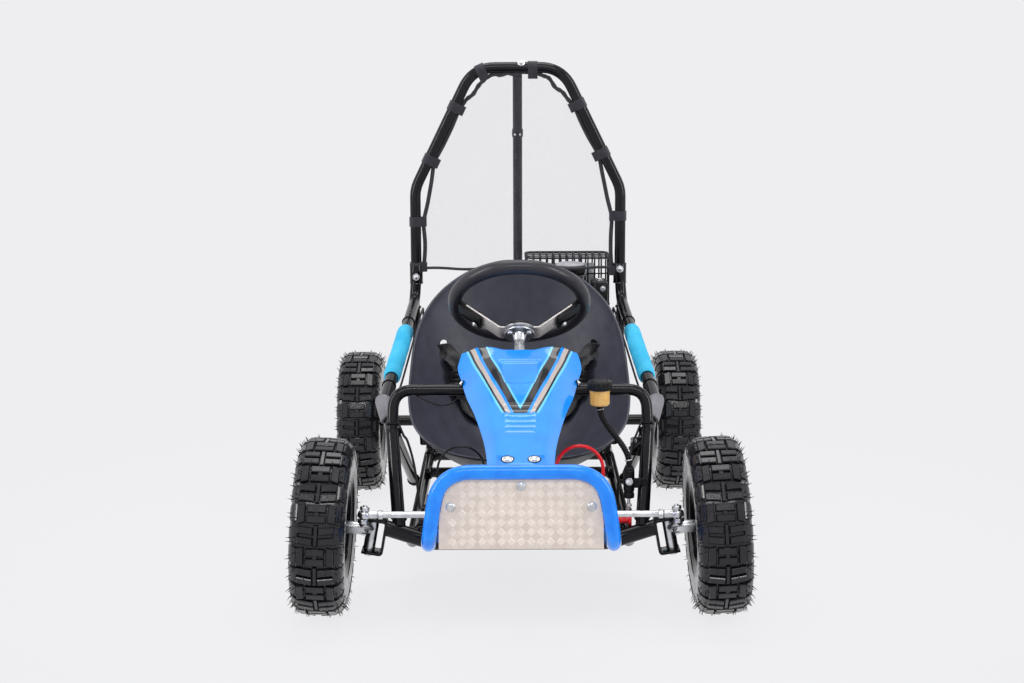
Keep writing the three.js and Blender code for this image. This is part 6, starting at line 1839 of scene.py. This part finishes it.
def chain_line(grow):
    """The chain's line round both sprockets, as evenly spaced places."""
    gap = V(0, AXLE_Y - CRANK.y, AXLE_Z - CRANK.z)
    bearing = math.atan2(-gap.z, -gap.y)
    lean = math.acos((SPROCKET_RADIUS - DRUM_RADIUS) / gap.length)
    big, small = SPROCKET_RADIUS + grow, DRUM_RADIUS + grow
    loop = []
    for t in arc(bearing + lean, 2 * pi - 2 * lean, 48):
        loop.append(V(CHAIN_X, AXLE_Y + big * cos(t), AXLE_Z + big * sin(t)))
    for t in arc(bearing - lean, 2 * lean, 16):
        loop.append(V(CHAIN_X, CRANK.y + small * cos(t), CRANK.z + small * sin(t)))
    loop.append(loop[0])
    total = path_length(loop)
    count = round(total / CHAIN_PITCH / 2) * 2
    places, step, walked, i = [], total / count, 0.0, 0
    for k in range(count):
        target = k * step
        while walked + (loop[i + 1] - loop[i]).length < target:
            walked += (loop[i + 1] - loop[i]).length
            i += 1
        span = loop[i + 1] - loop[i]
        places.append(loop[i] + span * ((target - walked) / span.length))
    return places


def chain_form():
    form, spots = Form(), chain_line(4.4)
    for k, here in enumerate(spots):
        there = spots[(k + 1) % len(spots)]
        way = (there - here).normalized()
        up = way.cross(V(1, 0, 0))
        form.tube([here - V(ROLLER_HALF, 0, 0), here + V(ROLLER_HALF, 0, 0)], ROLLER_RADIUS, 0, 10, 0.2)
        out = 2.2 if k % 2 else 3.2
        for x in (out, -out - LINK_THICK):
            ring = []
            for n, t in enumerate(turns(16)):
                waist = LINK_WAIST if n in (4, 12) else LINK_ROUND
                centre = here if cos(t) < 0 else there
                if n in (4, 12):
                    centre = (here + there) / 2
                ring.append(centre + way * (LINK_ROUND * cos(t)) + up * (waist * sin(t)))
            form.skin([[p + V(reach, 0, 0) for p in ring] for reach in (x, x + LINK_THICK)])
    return form


def clutch_form():
    form = Form()
    hole = circle_points(CRANK.y, CRANK.z, 8.6, 24)
    form.plate(toothed(CRANK.y, CRANK.z, DRUM_RADIUS, 10), 28.4, 3.2, "yz", [hole])
    profile = [(1.4, 8.5), (1.4, 12), (10, 12), (10.4, 34), (11.4, 36), (30.6, 36), (31.6, 35), (31.6, 8.5)]
    form.turned(profile, CRANK + V(CHAIN_X, 0, 0), (1, 0, 0), 60)
    return form


def add_drive():
    piece("axle_shaft", axle_form(), "rear_wheels", "paint_black", "black", ("rear_axle",))
    for side, hand in HANDS:
        name = f"axle_bearing_{hand}"
        piece(name + "_housing", bearing_form(side), "frame", "steel", "steel", (name,))
    piece("driven_sprocket", sprocket_form(), "rear_wheels", "steel", "steel", ("axle_sprocket",), bevel=0.3)
    piece("rotor", brake_disc_form(), "rear_wheels", "steel", "steel", ("brake_disc",), bevel=0.2)
    dressed("brake_caliper", "black_plastic", "black", 2.0)
    form = Form()
    for x in (-152, -128):
        form.bolt((x, 382, 224.2), (0, 0, 1), 4.6, 4.6)
    piece("caliper_bolts", form, "frame", "zinc", "zinc")
    piece("roller_chain", chain_form(), "frame", "steel", "dark_steel", ("drive_chain",))
    piece("clutch", clutch_form(), "clutch", "steel", "steel", ("clutch_drum",), bevel=0.3)


# Engine


FUEL_CAP_AT = V(122, 442, 520.4)
STARTER_AT = V(170.4, CRANK.y, 300)


def engine_trim():
    """The front cover with its screws and ribs."""
    form = Form()
    form.plate(rounded_rect(76, 232, 80, 96, 12), 371.5, 4.3, "xz")
    for z, x in product((240, 320), (84, 148)):
        form.bolt((x, 371.4, z), (0, -1, 0), 5, 4)
    for k in range(5):
        form.plate(rounded_rect(92, 254 + 13 * k, 48, 4, 1.8), 370.2, 1.4, "xz")
    return form


def tank_trim():
    form = Form()
    x0, x1, y0, y1, z = 50.6, 161.4, 376.6, 481.4, 478
    outline = rounded_rect(x0, y0, x1 - x0, y1 - y0, 19)
    hole = rounded_rect(x0 + 1.6, y0 + 1.6, 107.6, 101.6, 17.6)[::-1]
    form.plate(outline, z - 1.6, 3.2, "xy", [hole])
    for x, y in ((60, 374.5), (152, 374.5)):
        form.bolt((x, y, z), (0, -1, 0), 4, 4)
    return form


def fuel_cap_form():
    """The large round cap with its black knurled side."""
    levels = [(0, 33.7, 0.2), (1.2, 35.2, 1), (17, 35.2, 1), (18.6, 33.8, 0.3)]
    return ribbed(FUEL_CAP_AT, levels, 180, 36, 0.6, 1.2)


def fuel_cap_top():
    side = [(18.8, 34.2), (20.6, 33.8), (22.6, 31), (23.9, 25), (23.9, 12), (22.9, 9.5)]
    return Form().turned([(18.8, 0.5), *side, (22.9, 0.5)], FUEL_CAP_AT, (0, 0, 1), 72)


def recoil_form():
    """The starter's round housing, with its ribs and screws."""
    centre = STARTER_AT
    profile = [
        (0, 8), (0, 66), (2, 70), (14, 70), (19, 66), (20.4, 58), (28, 48), (29.8, 42), (29.8, 20), (28, 17),
        (28, 8),
    ]
    form = Form().turned(profile, centre, (1, 0, 0), 72)
    for turn in turns(12):
        low, high = V(20.2, 46 * cos(turn), 46 * sin(turn)), V(27, 33 * cos(turn), 33 * sin(turn))
        form.tube([centre + low, centre + high], 2.2, 0, 10)
    for turn in turns(4):
        spot = V(18.6, 61 * cos(turn + pi / 4), 61 * sin(turn + pi / 4))
        form.bolt(centre + spot, (1, 0, 0), 4, 3.4)
    return form


def add_starter_rope():
    """The rope between the starter's housing and its handle."""
    line = [V(181.8, y, STARTER_AT.z) for y in (490, 496, 499, 500, 501, 504, 508)]
    form = Form().skin([circle(p, V(1, 0, 0), V(0, 0, 1), 2.0, 16) for p in line])
    rope = add_object("starter_rope", mesh_of("starter_rope", form, 0, 50, "web"))
    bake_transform(rope)


def filter_trim():
    form = Form()
    for k in range(4):
        form.plate(rounded_rect(176, 452 + 9 * k, 30, 3.2, 1.4), 378.4, 1.4, "xz")
    form.plate(rounded_rect(173.5, 382.5, 33, 79, 12), 503, 1.5, "xy")
    return form


def carburettor_form():
    form = Form()
    side = [(392, 15), (394, 17), (408, 17), (409, 14), (421, 14), (422, 17), (438, 17), (439.6, 15)]
    form.turned([(392, 0.5), *side, (439.6, 0.5)], (190, 422, 0), (0, 0, 1), 44)
    form.tube([V(168.4, 422, 410), V(190, 422, 410)], 12, 0, 28)
    form.block((183, 403.6, 396), (197, 408, 408))
    form.disc((206, 422, 430), (1, 0, 0), 4, 4.5, 18)
    return form


def muffler_pipe():
    form = Form().tube([V(110, 484.5, 398), V(110, 530, 398), V(110, 530, 454)], 11, 22, 28)
    form.disc((110, 484.6, 398), (0, 1, 0), 18, 4, 36, 0.6)
    return form


BASKET_LOW, BASKET_HIGH = V(18.5, 486.5, 436), V(217.5, 607.5, 550)
TOP_WIRES_Z = 551.2


def wire_hoop(form, z, radius, sides):
    """A level wire round the basket."""
    low, size = BASKET_LOW, BASKET_HIGH - BASKET_LOW
    points = [V(x, y, z) for x, y in rounded_rect(low.x, low.y, size.x, size.y, 20)]
    rings = []
    for i, p in enumerate(points):
        along = (points[(i + 1) % len(points)] - points[i - 1]).normalized()
        side = along.cross(V(0, 0, 1)).normalized()
        rings.append(circle(p, side, along.cross(side).normalized(), radius, sides))
    form.skin(rings, endless=True)


def guard_cage():
    """The two hoops of the wire basket over the exhaust."""
    form = Form()
    for z in (BASKET_HIGH.z - 1, BASKET_LOW.z):
        wire_hoop(form, z, 2.5, 12)
    return form


def guard_wires():
    """The basket's uprights and top wires, and the posts that carry it."""
    form, low, high, top = Form(), BASKET_LOW, BASKET_HIGH, TOP_WIRES_Z
    for k in range(13):
        x = 22 + 192 * k / 12
        inset = 18 * max(0.0, abs(k - 6) - 4.4) / 1.6
        near, far = low.y + inset, high.y - inset
        form.tube([V(x, near, low.z), V(x, near, top), V(x, far, top), V(x, far, low.z)], 1.9, 8, 8)
    for y in (517, 547, 577):
        line = [(low.x, low.z), (low.x, high.z), (high.x, high.z), (high.x, low.z)]
        form.tube([V(x, y, z) for x, z in line], 1.5, 8, 8)
    for z in (474, 512):
        wire_hoop(form, z, 1.5, 8)
    for x in (85, 151):
        form.tube([V(x, 547, 528.4), V(x, 547, 549)], 4, 0, 16)
    return form


def add_engine():
    black = ("frame", "black_plastic", "plastic")
    dressed("engine_block", "aluminium", "cast", 1.6)
    piece("engine_cover", engine_trim(), *black, bevel=0.6)
    dressed("fuel_tank", "black_plastic", "black", 3.0)
    piece("tank_seam", tank_trim(), *black, bevel=0.6)
    piece("fuel_cap_side", fuel_cap_form(), "tank_cap", "black_plastic", "plastic", ("fuel_cap",))
    piece("fuel_cap_lid", fuel_cap_top(), "tank_cap", "grey_plastic", "light")
    piece("recoil_cover", recoil_form(), *black, ("recoil_starter",), bevel=0.5)
    dressed("recoil_handle", "black_plastic", "grip", 3.0)
    add_starter_rope()
    dressed("air_filter_box", "black_plastic", "plastic", 2.5)
    piece("filter_ribs", filter_trim(), *black, bevel=0.5)
    form = Form().bolt((196, 379.6, 491), (0, -1, 0), 4.6, 4.6)
    form.bolt((190, 422, 504.6), (0, 0, 1), 6, 5)
    piece("filter_screws", form, "frame", "zinc", "zinc")
    piece("carburettor_body", carburettor_form(), "frame", "aluminium", "cast", ("carburettor",), bevel=0.5)
    dressed("muffler", "steel", "steel", 3.0)
    piece("exhaust_pipe", muffler_pipe(), "frame", "steel", "steel")
    piece("guard_hoops", guard_cage(), "frame", "paint_black", "wire", ("engine_guard",))
    piece("guard_wires", guard_wires(), "frame", "paint_black", "wire")


# Cage net

NET_Y = 400
NET_HALF = 214
NET_LOW = 538
NET_RISE = 441
NET_SHARES = ((0, 1), (0.26, 0.99), (0.55, 0.87), (0.81, 0.615), (0.93, 0.43), (1, 0.23))
STRAPS = (
    (-80.5, 984.4), (-130.2, 901.2), (-186.0, 780.0), (-212.0, 646.0), (-214.0, 541.0),
    (35.0, 989.6), (135.0, 911.0), (186.0, 798.0), (219.4, 658.0), (221.4, 531.0),
)
STRAP_WIDTH, STRAP_THICK, STRAP_REACH = 22, 1.5, 20


def net_edge():
    """The net's outline in its own plane, from one bottom corner round the top to the other."""
    right = [V(NET_HALF * share, NET_Y, NET_LOW + NET_RISE * at) for at, share in NET_SHARES]
    return smooth_line(right + [flip(p) for p in reversed(right)], 10)


def net_half(z):
    """Half width of the net at a height."""
    line = smooth_line([V(NET_HALF * share, 0, NET_LOW + NET_RISE * at) for at, share in NET_SHARES], 12)
    for a, b in zip(line, line[1:]):
        if a.z <= z <= b.z:
            return a.x + (b.x - a.x) * (z - a.z) / max(b.z - a.z, 1e-6)
    return line[-1].x


def net_panel():
    """The stretched panel, with shallow creases that run from the straps."""
    form, rows, columns = Form(), 70, 60
    front, back = [], []
    for i in range(rows + 1):
        z = NET_LOW + NET_RISE * i / rows
        half = net_half(z) - 1.5
        row, rear = [], []
        for j in range(columns + 1):
            x = half * (2 * j / columns - 1)
            wave = 0.0
            for sx, sz in STRAPS:
                reach = math.hypot(x - sx, z - sz)
                bearing = math.atan2(z - sz, x - sx)
                wave += 2.6 * math.exp(-reach / 70) * sin(9 * bearing + 0.02 * sx)
            edge = min(1.0, (half - abs(x)) / 12, i / 4, (rows - i) / 4)
            row.append(V(x, NET_Y + wave * edge - 0.6, z))
            rear.append(V(x, NET_Y + wave * edge + 0.6, z))
        front.append(row)
        back.append(rear)
    form.points = [p for row in front + back for p in row]
    wide, count = columns + 1, (rows + 1) * (columns + 1)
    for i in range(rows):
        for j in range(columns):
            a = i * wide + j
            form.faces.append((a, a + 1, a + 1 + wide, a + wide))
            form.faces.append((a + count, a + wide + count, a + 1 + wide + count, a + 1 + count))
    border = [*range(wide), *(i * wide + columns for i in range(1, rows + 1))]
    border += [rows * wide + j for j in range(columns - 1, -1, -1)]
    border += [i * wide for i in range(rows - 1, 0, -1)]
    for a, b in zip(border, border[1:] + border[:1]):
        form.faces.append((b, a, a + count, b + count))
    return form


def hem_form():
    """The corded hem, drawn out a little towards each strap."""
    edge, path = net_edge(), []
    for p in edge:
        pull = 0.0
        for sx, sz in STRAPS:
            pull += math.exp(-((math.hypot(p.x - sx, p.z - sz) / 30) ** 2))
        out = (p - V(0, NET_Y, 700)).normalized()
        slack = 2.4 * sin(0.2 * p.x) * smooth_step(870, 930, p.z) * (1 - min(pull, 1.0))
        path.append(p + out * (5.0 * min(pull, 1.0) + slack))
    form = Form()
    rings = []
    for p, (a, b) in zip(path, frames(path)):
        rings.append(circle(p, a, b, 4.7 + 0.7 * sin(0.55 * p.x) * smooth_step(870, 930, p.z), 14))
    form.skin(rings)
    foot = []
    for k in range(41):
        x = path[-1].x + (path[0].x - path[-1].x) * k / 40
        foot.append(V(x, NET_Y, NET_LOW - 3 * sin(pi * k / 40) + 1.2 * sin(7 * pi * k / 40)))
    rings = [circle(p, a, b, 3.2, 12) for p, (a, b) in zip(foot, frames(foot))]
    return form.skin(rings)


def nearest_hoop(spot):
    """The nearest place on the hoop's axis, and the hoop's direction there."""
    line = rounded(hoop_path(), HOOP_BEND)
    places = []
    for a, b in zip(line, line[1:]):
        way = b - a
        share = max(0.0, min(1.0, (spot - a).dot(way) / way.length_squared))
        place = a + way * share
        places.append(((place - spot).length, place, way.normalized()))
    _, place, along = min(places, key=lambda item: item[0])
    return place, along


def strap_loop(spot):
    """A flat strap that goes round the tube and the hem, closed on itself."""
    tube_at, along = nearest_hoop(V(spot[0], NET_Y, spot[1]))
    inward = V(0, NET_Y, 640) - tube_at
    inward = (inward - along * inward.dot(along)).normalized()
    side, half = along.cross(inward).normalized(), along * (STRAP_WIDTH / 2)
    round_tube = [(14.6 * cos(t), 14.6 * sin(t)) for t in arc(pi / 2, pi, 16)]
    round_hem = [(STRAP_REACH + 5.6 * cos(t), 5.6 * sin(t)) for t in arc(-pi / 2, pi, 12)]
    rings = []
    for a, b in round_tube + round_hem:
        shift = STRAP_THICK * (1 if a > STRAP_REACH else -1 if a < 0 else 0)
        outer = tube_at + inward * a + side * b
        inner = tube_at + inward * (a - shift) + side * (b * (1 - STRAP_THICK / max(abs(b), 5.6)))
        rings.append([outer - half, outer + half, inner + half, inner - half])
    return Form().skin(rings, endless=True)


def add_net():
    panel = piece("cage_net_panel", net_panel(), "frame", "net", "net", ("cage_net",), smooth=80)
    hem = piece("net_hem", hem_form(), "frame", "webbing", "web", smooth=70)
    for number, spot in enumerate(STRAPS, 1):
        name = f"net_strap_{number}"
        piece(name, strap_loop(spot), "frame", "webbing", "web", bevel=0.3, smooth=50)


# Small fittings


HANGING_WIRE = [(-199, -306, 383), (-176, -313, 373), (-152, -315, 366), (-130, -314, 371), (-112, -306, 386)]
LOOM = [
    (-190, -398, 184), (-194, -380, 215), (-203, -352, 262), (-216, -326, 299), (-227, -300, 309),
    (-249, -225, 347), (-241, -104, 366), (-229, 186, 416), (-221, 370, 446), (-221, 393, 428),
]
RIGHT_LOOM = [(206, -391, 262), (209, -372, 284), (217, -334, 300)] + [(-x, y, z) for x, y, z in LOOM[4:]]


def add_small_parts():
    pair = [(x - 1.0, y + 4.6, z - 2.2) for x, y, z in LOOM[:-2]]
    wires = (("hanging_wire", HANGING_WIRE, 1.4), ("left_loom", LOOM, 2.2), ("left_loom_pair", pair, 1.7),
             ("right_loom", RIGHT_LOOM, 2.2))
    for name, points, radius in wires:
        add_cable(name, smooth_line(points, 10), radius, 10)
    ties = Form()
    for side, y in product(SIDES, (-150, 240)):
        spot = on_side_tube(y)
        ties.ring(V(side * spot.x, y, spot.z), (0, 1, 0.1), 13.6, 1.1, 40, 8)
    piece("cable_ties", ties, "frame", "black_plastic", "plastic")
    fitting = Form()
    fitting.tube([V(237, -327, 296), V(216, -334, 284)], 5.5, 0, 20)
    fitting.tube([V(228, -330, 291), V(226, -336, 270)], 4.6, 0, 18)
    fitting.hexagon((216.5, -334, 284.5), (-21, -7, -12), 7.2, 7)
    fitting.plate(rounded_rect(212, 268, 30, 36, 5), -325, 3, "xz")
    piece("cable_junction", fitting, "frame", "black_plastic", "plastic", bevel=0.4)
    bolts = Form()
    bolts.bolt((236, -325.4, 276), (0, -1, 0), 4.6, 4.6, "dome")
    bolts.bolt((218, -325.4, 297), (0, -1, 0), 4.6, 4.6, "dome")
    bolts.bolt((204, -415.2, 240), (0, -1, 0), 5.2, 5.0)
    piece("junction_bolts", bolts, "frame", "zinc", "zinc")


# Build

PARTS = (
    add_camera, add_world, add_lights, add_floor, add_wheels, add_frame, add_foam, add_bumper, add_seat,
    add_fairing, add_steering, add_controls, add_drive, add_engine, add_net, add_small_parts,
)
for add_part in PARTS:
    add_part()

bpy.context.scene.view_settings.view_transform = "Standard"
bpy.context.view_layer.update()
